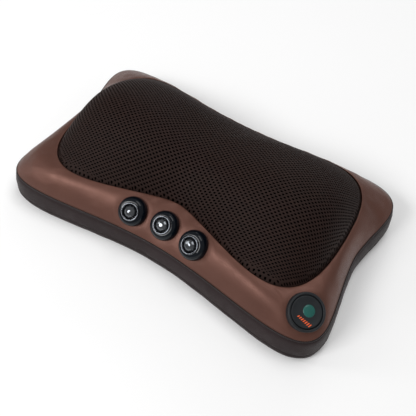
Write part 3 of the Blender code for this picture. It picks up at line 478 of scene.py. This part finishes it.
GLOSS_BLACK = moulded("gloss_black", (0.0020, 0.0034, 0.0060), (0.0030, 0.0048, 0.0080), 0.06, 0.0, 0.0,
                      0.002, Specular_IOR_Level=0.22)
CHROME = moulded("chrome", (0.075, 0.080, 0.090), (0.100, 0.105, 0.115), 0.05, 1.0, 0.0, 0.001)
CRYSTAL = moulded("smoked_crystal", (0.080, 0.086, 0.094), (0.115, 0.120, 0.128), 0.03, 0.80, 0.0, 0.001,
                  Specular_IOR_Level=0.4)
RUBBER = moulded("black_rubber", (0.0075, 0.0092, 0.0112), (0.0105, 0.0126, 0.0150), 0.50, 0.0,
                 0.00003, 0.0004, Specular_IOR_Level=0.3)
TEAL = moulded("teal_lens", (0.008, 0.078, 0.064), (0.013, 0.104, 0.088), 0.30, 0.0, 0.00002, 0.0005,
               Specular_IOR_Level=0.35)
ORANGE = moulded("orange_mark", (0.66, 0.085, 0.018), (0.80, 0.125, 0.030), 0.50)
BOARD = moulded("circuit_board", (0.012, 0.11, 0.035), (0.022, 0.17, 0.060), 0.45, 0.0, 0.00006, 0.0015)
LAMP = moulded("warming_lamp", (0.50, 0.018, 0.012), (0.65, 0.040, 0.025), 0.14, 0.0, 0.00001, 0.002)

NODE_LOOKS = (
    (SHELL_ABS, ("top_shell", "base_tray", "motor_end_cap", "rotor_arm_left", "rotor_arm_right",
                 "tact_switch")),
    (GEARBOX_ABS, ("gearbox_lower", "gearbox_upper")),
    (ACETAL, ("worm_left", "worm_right", "worm_wheel_left", "worm_wheel_right")),
    (STEEL, ("motor_can", "drive_shaft", "output_shaft_left", "output_shaft_right", "screw_front_left",
             "screw_front_right", "screw_back_left", "screw_back_right", "head_pin_left_front",
             "head_pin_left_back", "head_pin_right_front", "head_pin_right_back")),
    (BRASS, ("shaft_bush_left", "shaft_bush_right", "output_bush_left", "output_bush_right")),
    (COPPER, ("motor_armature",)),
    (HEAD_RUBBER, ("massage_head_left_front", "massage_head_left_back", "massage_head_right_front",
                   "massage_head_right_back")),
    (BOARD, ("switch_board", "control_board")),
    (LAMP, ("warming_lamp_front", "warming_lamp_back")),
)
for look, names in NODE_LOOKS:
    for name in names:
        data = NODES[name].data
        data.materials.clear()
        data.materials.append(look)

# --- Fittings -------------------------------------------------------------------------------------
STUDS = ("left", "middle", "right")
STUD_R = 0.0137
BUTTON_R = 0.0163
BUTTON_INNER_R = 0.0139
BEZEL_LOW = -0.0085  # heights of the lowest point of the bezel and of a stud's ring in their own frames
RING_LOW = 0.0071
STUD_FRAMES = {name: frame_of(f"stud_ring_{name}", RING_LOW) for name in STUDS}
BUTTON_FRAME = frame_of("button_bezel", BEZEL_LOW)
FITTINGS = [(matrix, STUD_R) for matrix in STUD_FRAMES.values()] + [(BUTTON_FRAME, BUTTON_R)]


def box_middle(node):
    low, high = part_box(node)
    return (low + high) / 2


def make_stud(name, matrix):
    top = 0.0068
    body = [(0.0, top - 0.0002), (0.0058, top - 0.0002), (0.0062, top), (0.0090, top)]
    body += [(0.0090 + 0.0047 * math.sin(a), top - 0.0078 * (1 - math.cos(a)))
             for a in np.radians(np.linspace(8, 80, 12))]
    body += [(STUD_R, -0.0006), (STUD_R, -0.0018), (0.0, -0.0018)]
    stud = lathe(f"stud_dome_{name}", body, GLOSS_BLACK, matrix)
    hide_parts(f"stud_body_{name}")
    low = top + 0.0001
    ring = arc((0.0076, low + 0.0009), 0.0009, 160, 20, 8)
    ring += [(0.0086, low), (0.0060, low)]
    rim = lathe(f"stud_chrome_{name}", ring, CHROME, matrix)
    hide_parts(f"stud_ring_{name}")
    gem = [(0.0, low + 0.0031), (0.0016, low + 0.0030), (0.0034, low + 0.0025), (0.0048, low + 0.0016),
           (0.0054, low + 0.0004), (0.0054, low), (0.0, low)]
    cap = lathe(f"stud_gem_{name}", gem, CRYSTAL, matrix, count=GEM_SIDES, smooth=3)
    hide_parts(f"stud_crystal_{name}")


def make_button():
    inner = BUTTON_INNER_R
    half = (BUTTON_R - inner) / 2
    bezel = arc((inner + half, 0.0013), half, 180, 0, 12)
    bezel += [(BUTTON_R, BEZEL_LOW), (0.0105, BEZEL_LOW), (0.0105, -0.0072), (inner, -0.0072)]
    rim = lathe("button_rim", bezel, RUBBER, BUTTON_FRAME)
    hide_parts("button_bezel")
    edge = inner - 0.0003
    cap = [(0.0, 0.0011), (0.0080, 0.0012), (0.0108, 0.0014), (0.0124, 0.0018), (0.0130, 0.0018),
           (0.0134, 0.0015), (edge, 0.0008), (edge, -0.0010), (0.0025, -0.0010), (0.0025, -0.0022),
           (0.0, -0.0022)]
    face = lathe("button_face", cap, RUBBER, BUTTON_FRAME, "power_button")
    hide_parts("button_cap")
    lens = [(0.0, 0.00175), (0.0040, 0.00165), (0.0049, 0.0015), (0.00525, 0.0011), (0.00525, 0.0009),
            (0.0, 0.0009)]
    offset = BUTTON_FRAME.inverted() @ box_middle("button_lens")
    place = BUTTON_FRAME @ Matrix.Translation((offset.x, offset.y, 0))
    disc = lathe("button_disc", lens, TEAL, place, "power_button")
    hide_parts("button_lens")


def make_mark():
    """A row of slanted ticks, each one longer than the one before it, like a level scale."""
    middle = BUTTON_FRAME.inverted() @ box_middle("button_mark")
    turned = Matrix.Rotation(math.radians(-7), 4, "Z")
    points, faces = [], []
    count, pitch, wide, slant = 7, 0.0020, 0.0010, 0.0005
    for k in range(count):
        x = (k - (count - 1) / 2) * pitch
        half = 0.0009 + 0.0006 * k / (count - 1)
        corners = ((x - wide / 2 - slant, -half), (x + wide / 2 - slant, -half),
                   (x + wide / 2 + slant, half), (x - wide / 2 + slant, half))
        start = len(points)
        for z in (0.0009, 0.0017):
            for cx, cy in corners:
                local = turned @ Vector((cx, cy, 0))
                points.append(BUTTON_FRAME @ Vector((middle.x + local.x, middle.y + local.y, z)))
        faces += [tuple(start + i for i in f) for f in
                  ((3, 2, 1, 0), (4, 5, 6, 7), (0, 1, 5, 4), (1, 2, 6, 5), (2, 3, 7, 6), (3, 0, 4, 7))]
    mark = new_piece("button_ticks", points, faces, ORANGE, 30, "power_button")
    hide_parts("button_mark")


def frame_of_jack():
    """The barrel socket's frame: its Z points out of the pillow's back edge."""
    low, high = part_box("dc_jack")
    place = Matrix.Translation(((low.x + high.x) / 2, high.y - 0.0030, (low.z + high.z) / 2))
    return place @ Matrix.Rotation(math.radians(-90), 4, "X")


JACK_FRAME = frame_of_jack()


def make_jack():
    matrix = JACK_FRAME
    bore, floor = 0.0032, -0.0130
    body = [(0.0, floor + 0.0002), (bore, floor + 0.0002), (bore, 0.0026), (bore + 0.0004, 0.0030),
            (0.0050, 0.0030), (0.0055, 0.0025), (0.0055, floor - 0.003), (0.0, floor - 0.003)]
    jack = lathe("jack_body", body, SHELL_ABS, matrix, count=48)
    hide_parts("dc_jack")
    sleeve = [(bore - 0.0001, 0.0010), (bore - 0.0001, floor + 0.001), (bore - 0.0004, floor + 0.001),
              (bore - 0.0004, 0.0008)]
    lathe("jack_sleeve", sleeve, STEEL, matrix, count=48)
    pin = [(0.0, -0.0030), (0.0006, -0.0032), (0.0010, -0.0040), (0.0010, floor + 0.0003),
           (0.0, floor + 0.0003)]
    lathe("jack_pin", pin, STEEL, matrix, count=24)


# --- Sewn shell -----------------------------------------------------------------------------------
def normals_of(grid):
    """Unit normals of a grid of rows by points, whose rows close on themselves."""
    along = np.roll(grid, -1, 1) - np.roll(grid, 1, 1)
    across = np.gradient(grid, axis=0)
    normal = np.cross(along, across)
    return normal / np.linalg.norm(normal, axis=-1, keepdims=True)


def dimpled(grid, normal):
    """The cover drawn in round each fitting."""
    moved = grid.copy()
    for matrix, radius in FITTINGS:
        away = grid - np.array(matrix.translation)
        axis = np.array(matrix.col[2][:3])
        flat = away - (away @ axis)[..., None] * axis
        far = np.linalg.norm(flat, axis=-1) - radius
        depth = DIMPLE * np.clip(1 - far / DIMPLE_WIDE, 0, 1) ** 2
        moved -= normal * depth[..., None]
    return moved


def sewn_points(coarse):
    """The cloth's held points: its two sewn edges, and what lies round a stud or the button."""
    held = np.zeros(coarse.shape[:2], bool)
    held[[0, -1]] = True
    for matrix, radius in FITTINGS:
        away = np.linalg.norm(coarse - np.array(matrix.translation), axis=-1)
        held |= away < radius + SEWN_MARGIN
    return held


def blown_out(coarse, held):
    """The cloth after a short simulation under pressure. Most of it ends inward of where it started."""
    rows, count = coarse.shape[:2]
    mesh = bpy.data.meshes.new("cover_cloth")
    mesh.from_pydata(coarse.reshape(-1, 3).tolist(), [], ring_faces(rows, count, False))
    cloth = bpy.data.objects.new("cover_cloth", mesh)
    scene = bpy.context.scene
    scene.collection.objects.link(cloth)
    pins = cloth.vertex_groups.new(name="sewn")
    pins.add(np.flatnonzero(held.ravel()).tolist(), 1.0, "REPLACE")
    padding = cloth.modifiers.new("padding", "CLOTH")
    padding.collision_settings.use_collision = False
    padding.point_cache.frame_end = CLOTH_FRAMES
    settings = padding.settings
    settings.vertex_group_mass = "sewn"
    settings.effector_weights.gravity = 0.0
    settings.use_pressure = True
    settings.uniform_pressure_force = CLOTH_PRESSURE
    settings.shrink_min = -CLOTH_SLACK
    for name, value in CLOTH_SETTINGS.items():
        setattr(settings, name, value)
    for frame_number in range(1, CLOTH_FRAMES + 1):
        scene.frame_set(frame_number)
    settled = cloth.evaluated_get(bpy.context.evaluated_depsgraph_get()).data
    points = np.empty(rows * count * 3)
    settled.vertices.foreach_get("co", points)
    scene.frame_set(1)
    bpy.data.objects.remove(cloth)
    bpy.data.meshes.remove(mesh)
    return points.reshape(coarse.shape)


def padding_relief(grid, normal):
    """The simulated cloth's lift, scaled, clipped and smoothed onto the cover's finer grid."""
    rows = np.linspace(0, len(grid) - 1, CLOTH_ROWS).round().astype(int)
    coarse = grid[rows][:, ::CLOTH_STEP]
    lift = ((blown_out(coarse, sewn_points(coarse)) - coarse) * normal[rows][:, ::CLOTH_STEP]).sum(-1)
    lift = np.clip(lift * PUFF / lift.max(), -PUFF / INWARD_PART, PUFF)
    columns = np.arange(grid.shape[1]) / CLOTH_STEP
    along = [np.interp(columns, np.arange(len(row) + 1), np.append(row, row[0])) for row in lift]
    heights = np.arange(len(grid))
    fine = np.stack([np.interp(heights, rows, column) for column in np.array(along).T], axis=1)
    for _ in range(SMOOTH_PASSES):
        fine = (fine + np.roll(fine, 1, axis=1) + np.roll(fine, -1, axis=1)) / 3
        fine[1:-1] = (fine[:-2] + fine[1:-1] + fine[2:]) / 3
    return fine


def make_cover():
    s, t = square_walk()
    rises = np.linspace(0, 1, COVER_ROWS) ** 0.85
    grid = np.stack([cover_points(s, t, rise) for rise in rises])
    normal = normals_of(grid)
    grid = dimpled(grid, normal)
    grid = grid + normal * padding_relief(grid, normal)[..., None]
    # The seam edge turns under and the window edge turns down, both round a small bend.
    inward = grid[1] - grid[0]
    inward /= np.linalg.norm(inward, axis=-1, keepdims=True)
    down = np.array([0, 0, -1.0])
    outer = -inward
    outer[:, 2] = 0
    outer /= np.linalg.norm(outer, axis=-1, keepdims=True)
    rows = [grid[0] - outer * under * HEM_BEND + down * deep * HEM_BEND for under, deep in SEAM_HEM]
    rows += list(grid)
    lip = grid[-1] - grid[-2]
    lip /= np.linalg.norm(lip, axis=-1, keepdims=True)
    rows += [grid[-1] + lip * past * HEM_BEND + down * deep * HEM_BEND for past, deep in WINDOW_HEM]
    rows += list((grid - normal * FABRIC)[::-UNDERSIDE_STEP])
    points = np.stack(rows)
    faces = ring_faces(len(rows), len(s), True)
    cover = turn_outward(new_piece("frame_cover", points.reshape(-1, 3), faces, BRONZE, 60))
    for matrix in STUD_FRAMES.values():
        cut(cover, drum(matrix, STUD_R - 0.0004, -0.012, 0.02))
    cut(cover, drum(BUTTON_FRAME, BUTTON_R - 0.0002, -0.014, 0.02))
    cover.data.shade_smooth()
    cover.data.set_sharp_from_angle(angle=math.radians(50))
    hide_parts("top_cover")


def outline_ring(outward):
    """The case's outline moved outward, with the (u, v) of each point. Outward may be an array."""
    s, t = square_walk()
    u, v = CASE.uv(s, t)
    flat = np.stack(CASE.point(u, v), -1)
    run = np.roll(flat, -1, 0) - np.roll(flat, 1, 0)
    run /= np.linalg.norm(run, axis=-1, keepdims=True)
    out = np.stack([run[:, 1], -run[:, 0]], -1)
    return flat + out * np.broadcast_to(outward, len(flat))[:, None], u, v


def pucker(points, height):
    """Small creases of the band's leather, deepest near its two seams."""
    found = []
    for p in points:
        wave = noise.noise(Vector((p[0] * 55, p[1] * 55, height * 2.5)))
        fine = noise.noise(Vector((p[0] * 160, p[1] * 160, height * 5 + 7)))
        found.append(0.00045 * wave + 0.00022 * fine)
    return np.array(found)


def band_ring(name, look, creased):
    _, u, v = outline_ring(0.0)
    top = seam_z(u, v) - UPPER_SLOT
    shape = ((-FABRIC, 0.92), (-0.0006, 1.0), (0.0006, 0.985), (0.0016, 0.93), (0.0024, 0.84), (0.0031, 0.72),
             (0.0036, 0.60), (0.0040, 0.47), (0.0042, 0.40))
    rows = []
    for outward, share in shape:
        flat, _, _ = outline_ring(outward)
        crease = pucker(flat, share) * math.sin(math.pi * share) if creased and share < 0.99 else 0.0
        flat, _, _ = outline_ring(outward + crease)
        rows.append(np.column_stack([flat, top * share]))
    groove = ((0.0042, 0.0017), (0.0040, 0.0010), (0.0034, 0.0004), (0.0031, 0.0), (0.0034, -0.0004),
              (0.0040, -0.0010), (0.0042, -0.0017), (0.0041, -0.0036), (0.0037, -0.0056),
              (0.0031, -0.0068), (0.0022, -0.0076), (0.0012, -0.0078))
    for outward, above in groove:
        flat, _, _ = outline_ring(outward)
        crease = pucker(flat, 3 + above * 60) if creased and -0.006 < above < -0.001 else 0.0
        flat, _, _ = outline_ring(outward + crease)
        rows.append(np.column_stack([flat, np.full(len(flat), LOWER_CORD_Z + above)]))
    flat, _, _ = outline_ring(-FABRIC)
    rows.append(np.column_stack([flat, np.zeros(len(flat))]))
    faces = ring_faces(len(rows), len(flat), True)
    return turn_outward(new_piece(name, np.stack(rows).reshape(-1, 3), faces, look, 60))


def make_band():
    """The creased band, open at the back for the moulded plate that holds the jack."""
    low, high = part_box("jack_plate")
    band = band_ring("band_leather", DARK_LEATHER, True)
    cut(band, slab(low.x - 0.0002, 0.05, -0.01, high.x + 0.0002, 0.15, 0.05))
    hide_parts("side_band")
    plate = band_ring("jack_surround", SHELL_ABS, False)
    cut(plate, slab(low.x, 0.05, -0.01, high.x, 0.15, 0.05), "INTERSECT")
    cut(plate, drum(JACK_FRAME, 0.0058, -0.02, 0.02, 48))
    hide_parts("jack_plate")


def make_cord(name, node, radius, outward, height):
    """A thin cord round the case, sewn into a seam."""
    rows = []
    for k in range(CORD_SIDES):
        turn = TAU * k / CORD_SIDES
        flat, u, v = outline_ring(outward + radius * math.cos(turn))
        rows.append(np.column_stack([flat, height(u, v) + radius * math.sin(turn)]))
    faces = ring_faces(CORD_SIDES, len(flat), True)
    cord = turn_outward(new_piece(name, np.stack(rows).reshape(-1, 3), faces, PIPING, 0))
    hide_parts(node)


def make_bottom():
    inset = -(FABRIC + 0.0003)
    rows = []
    for outward, z in ((inset - 0.0006, 0.0002), (inset - 0.0002, 0.0004), (inset, 0.0009), (inset, 0.0020)):
        flat, _, _ = outline_ring(outward)
        rows.append(np.column_stack([flat, np.full(len(flat), z)]))
    count = len(rows[0])
    points = np.stack(rows).reshape(-1, 3)
    faces = ring_faces(len(rows), count, False)
    faces += [tuple(range(count))[::-1], tuple(range(3 * count, 4 * count))]
    panel = turn_outward(new_piece("bottom_panel", points, faces, DARK_LEATHER, 60))
    cut(panel, slab(-0.1265, -0.0205, -0.001, 0.1265, 0.0205, 0.0014))
    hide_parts("bottom_cover")


def make_strap():
    """Webbing with ribs across its width, flush in its channel under the pillow."""
    low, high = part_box("back_strap")
    count_x, count_y = 252, 9
    points = []
    for side, base in ((0, high.z), (1, low.z + 0.00015)):
        for j in range(count_y + 1):
            for i in range(count_x + 1):
                x = low.x + (high.x - low.x) * i / count_x
                y = low.y + (high.y - low.y) * j / count_y
                rib = RIB * math.cos(math.pi * i) * (0.3 if j in (0, count_y) else 1.0)
                points.append((x, y, base - rib - RIB if side == 0 else base + rib))
    faces = sheet_faces(count_x, count_y)
    strap = turn_outward(new_piece("strap_webbing", points, faces, STRAP_CLOTH, 60))
    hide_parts("back_strap")


# --- Air-mesh -------------------------------------------------------------------------------------
EDGE = 0.994
TUCK = 0.0016  # the mesh dips under the frame cover's lip by this much
TUCK_WIDE = 0.035


def skin_point(u, v):
    """A point of the air-mesh skin. It tucks down just inside the window's edge."""
    x, y = WINDOW.point(u, v)
    x, y = x * EDGE, CENTRE_Y + (y - CENTRE_Y) * EDGE
    near = np.clip((WINDOW.radius(u, v) - (1 - TUCK_WIDE)) / TUCK_WIDE, 0, 1)
    return np.stack([x, y, dome_z(u, v) - TUCK * near ** 2], -1)


def skin_normal(u, v):
    along = skin_point(u + NORMAL_STEP, v) - skin_point(u - NORMAL_STEP, v)
    across = skin_point(u, v + NORMAL_STEP) - skin_point(u, v - NORMAL_STEP)
    normal = np.cross(along, across)
    return normal / np.linalg.norm(normal, axis=-1, keepdims=True)


def warp_table(line):
    """Arc length along a line of the dome, so that cloth laid over it keeps its spacing."""
    param = np.linspace(-1, 1, WARP_POINTS)
    points = line(param)
    step = np.linalg.norm(np.diff(points, axis=0), axis=1)
    length = np.concatenate([[0], np.cumsum(step)])
    return points, length - np.interp(0.0, param, length)


def make_air_mesh():
    across, length_x = warp_table(lambda p: skin_point(p * 0.9999, np.full_like(p, -0.08)))
    deep, length_y = warp_table(lambda p: skin_point(np.full_like(p, 0.55), p * 0.9999))

    def lay(p, q):
        """A fabric coordinate, in metres, to plan coordinates."""
        cos, sin = math.cos(MESH_TURN), math.sin(MESH_TURN)
        p, q = p * cos - q * sin, p * sin + q * cos
        x = np.interp(p, length_x, across[:, 0])
        y = np.interp(q, length_y, deep[:, 1])
        x = np.where(p > length_x[-1], across[-1, 0] + p - length_x[-1], x)
        x = np.where(p < length_x[0], across[0, 0] + p - length_x[0], x)
        y = np.where(q > length_y[-1], deep[-1, 1] + q - length_y[-1], y)
        y = np.where(q < length_y[0], deep[0, 1] + q - length_y[0], y)
        return x, y

    w, r = HOLE_PITCH_X, HOLE_PITCH_Y
    # Six corners of a cell, in quarters of the pitch along a row and twelfths of that between rows, so
    # that neighbours share them exactly.
    corners = ((0, 8), (-2, 4), (-2, -4), (0, -8), (2, -4), (2, 4))
    cells, index, raw = [], {}, []
    half_i = int(length_x[-1] / w) + 6
    half_j = int((max(-length_y[0], length_y[-1]) + 0.02) / r) + 6
    centres = [(4 * i + (2 if j % 2 else 0), 12 * j) for j in range(-half_j, half_j + 1)
               for i in range(-half_i, half_i + 1)]
    cx = np.array([c[0] for c in centres]) * w / 4
    cy = np.array([c[1] for c in centres]) * r / 12
    px, py = lay(cx, cy)
    u, v = WINDOW.find(px, py)
    kept = WINDOW.radius(u, v) < MESH_REACH
    for (a, b), keep in zip(centres, kept):
        if not keep:
            continue
        cell = []
        for da, db in corners:
            key = (a + da, b + db)
            if key not in index:
                index[key] = len(raw)
                raw.append(key)
            cell.append(index[key])
        cells.append(cell)
    keys = np.array(raw, float)
    px, py = lay(keys[:, 0] * w / 4, keys[:, 1] * r / 12)
    u, v = WINDOW.find(px, py)
    sides = {}
    for cell in cells:
        for a, b in zip(cell, cell[1:] + cell[:1]):
            sides[frozenset((a, b))] = sides.get(frozenset((a, b)), 0) + 1
    rim = sorted({i for side, uses in sides.items() if uses == 1 for i in side})
    radius = WINDOW.radius(u, v)
    u[rim] /= radius[rim]
    v[rim] /= radius[rim]
    over = np.maximum(WINDOW.radius(u, v), 1.0)
    u, v = u / over, v / over
    top = skin_point(u, v)
    normal = skin_normal(u, v)
    count = len(top)
    cell = np.array(cells)
    flat_x, flat_y = top[cell][..., 0], top[cell][..., 1]
    mid_x, mid_y = flat_x.mean(1, keepdims=True), flat_y.mean(1, keepdims=True)
    angles = np.arctan2([c[1] / 12 * r for c in corners], [c[0] / 4 * w for c in corners])
    # A hole's corners lie between its cell's middle and its cell's corners, evened out into an oval. A cell
    # that the window's edge has pulled longer keeps a hole of the usual size.
    own = np.array([math.hypot(c[0] / 4 * w, c[1] / 12 * r) for c in corners])
    reach = np.hypot(flat_x - mid_x, flat_y - mid_y)
    oval = 1 / np.hypot(np.cos(angles) / HOLE_X, np.sin(angles) / HOLE_Y)
    share = (oval / own)[None, :] * np.minimum(1.0, own[None, :] / reach)
    share = share * np.clip(reach.min(1, keepdims=True) / (0.6 * own.min()), 0.2, 1.0)
    rim_u, rim_v = WINDOW.find(((mid_x + (flat_x - mid_x) * share).ravel()) / EDGE,
                               (CENTRE_Y + (mid_y + (flat_y - mid_y) * share - CENTRE_Y) / EDGE).ravel())
    hole = skin_point(rim_u, rim_v)
    hole_normal = np.repeat(normal[cell].mean(1), len(corners), 0)
    hole_normal /= np.linalg.norm(hole_normal, axis=-1, keepdims=True)
    points = np.concatenate([top, top - normal * MESH_THICK, hole - hole_normal * HOLE_RIM_DROP,
                             hole - hole_normal * MESH_THICK])
    n_hole = len(hole)
    # Faces marked 1 take the near-black lining look, which is painted shade: each hole's wall, the mesh's
    # underside and its cut rim, so the holes read dark from any side.
    faces, dark = [], []
    for k, c in enumerate(cells):
        base = 2 * count + k * len(corners)
        low = base + n_hole
        for i in range(len(corners)):
            j = (i + 1) % len(corners)
            faces.append((c[i], c[j], base + j, base + i))
            faces.append((base + i, base + j, low + j, low + i))
            faces.append((low + i, low + j, count + c[j], count + c[i]))
            dark += [0, 1, 1]
    for side, uses in sides.items():
        if uses == 1:
            a, b = side
            faces.append((a, b, count + b, count + a))
            dark.append(1)
    mesh = new_piece("air_mesh_top", points, faces, AIR_MESH, 50)
    mesh.data.materials.append(HOLE_SHADE_LINING)
    mesh.data.polygons.foreach_set("material_index", dark)
    turn_outward(mesh)
    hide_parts("mesh_cover")


def make_lining():
    count_x, count_y = 72, 48
    s, t = np.meshgrid(np.linspace(-1, 1, count_x + 1), np.linspace(-1, 1, count_y + 1))
    u, v = WINDOW.uv(s.ravel(), t.ravel())
    top = skin_point(u, v)
    normal = skin_normal(u, v)
    middle = np.array([0.0, CENTRE_Y])
    upper = top - normal * LINING_DEPTH
    upper[:, :2] = middle + (upper[:, :2] - middle) * LINING_SHRINK
    lower = upper - normal * LINING_THICK
    points = np.concatenate([upper, lower])
    # The lining is drawn near-black: painted shade seen through the mesh's holes.
    lining = turn_outward(new_piece("lining_sheet", points, sheet_faces(count_x, count_y), HOLE_SHADE_LINING, 60))
    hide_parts("mesh_lining")


make_cover()
make_band()
make_cord("seam_cord_upper", "upper_piping", 0.0007, 0.0004, lambda u, v: seam_z(u, v) - UPPER_SLOT / 2)
make_cord("seam_cord_lower", "lower_piping", 0.0005, BAND_BULGE - 0.0004, lambda u, v: LOWER_CORD_Z + 0 * u)
make_bottom()
make_strap()
make_air_mesh()
make_lining()
for name, matrix in STUD_FRAMES.items():
    make_stud(name, matrix)
make_button()
make_mark()
make_jack()

# --- Stage, light and camera ----------------------------------------------------------------------
scene = bpy.context.scene


def make_floor():
    bm = bmesh.new()
    bmesh.ops.create_grid(bm, x_segments=1, y_segments=1, size=4.0)
    floor = loose("floor", bm)
    floor.location.z = -0.0002
    look = Look("floor_paper", Roughness=0.9, Base_Color=(0.955, 0.955, 0.955, 1.0))
    floor.data.materials.append(look.material)


def softbox(name, place, target, wide, tall, power):
    light = bpy.data.lights.new(name, "AREA")
    light.shape = "RECTANGLE"
    light.size = wide
    light.size_y = tall
    light.energy = power
    made = bpy.data.objects.new(name, light)
    made.location = place
    made.rotation_mode = "QUATERNION"
    made.rotation_quaternion = (Vector(target) - Vector(place)).to_track_quat("-Z", "Y")
    scene.collection.objects.link(made)


make_floor()
softbox("key", (-0.62, -1.25, 1.20), (-0.05, 0.0, 0.03), 0.75, 0.5, 15)
softbox("left", (-1.3, -0.55, 0.80), (-0.05, 0.0, 0.03), 0.25, 0.7, 3)
softbox("top", (0.20, 0.45, 1.7), (0.0, 0.0, 0.03), 1.0, 0.7, 9)
softbox("rim", (-0.35, 1.5, 0.75), (0.0, 0.0, 0.05), 1.0, 0.4, 3)

world = bpy.data.worlds.new("studio")
world.use_nodes = True
world.node_tree.nodes["Background"].inputs["Color"].default_value = (1.0, 1.0, 1.0, 1.0)
world.node_tree.nodes["Background"].inputs["Strength"].default_value = 0.42
scene.world = world
scene.view_settings.view_transform = "Standard"

camera = bpy.data.cameras.new("camera")
camera.lens = 50.08
camera.sensor_width = 36
camera.clip_start = 0.05
camera.clip_end = 20
holder = bpy.data.objects.new("camera", camera)
axes = Matrix(((0.8425, 0.5371, 0.0407), (-0.4571, 0.6729, 0.5816), (0.285, -0.5086, 0.8125))).transposed()
holder.matrix_world = Matrix.Translation((0.17316, -0.29774, 0.46967)) @ axes.to_4x4()
scene.collection.objects.link(holder)
scene.camera = holder
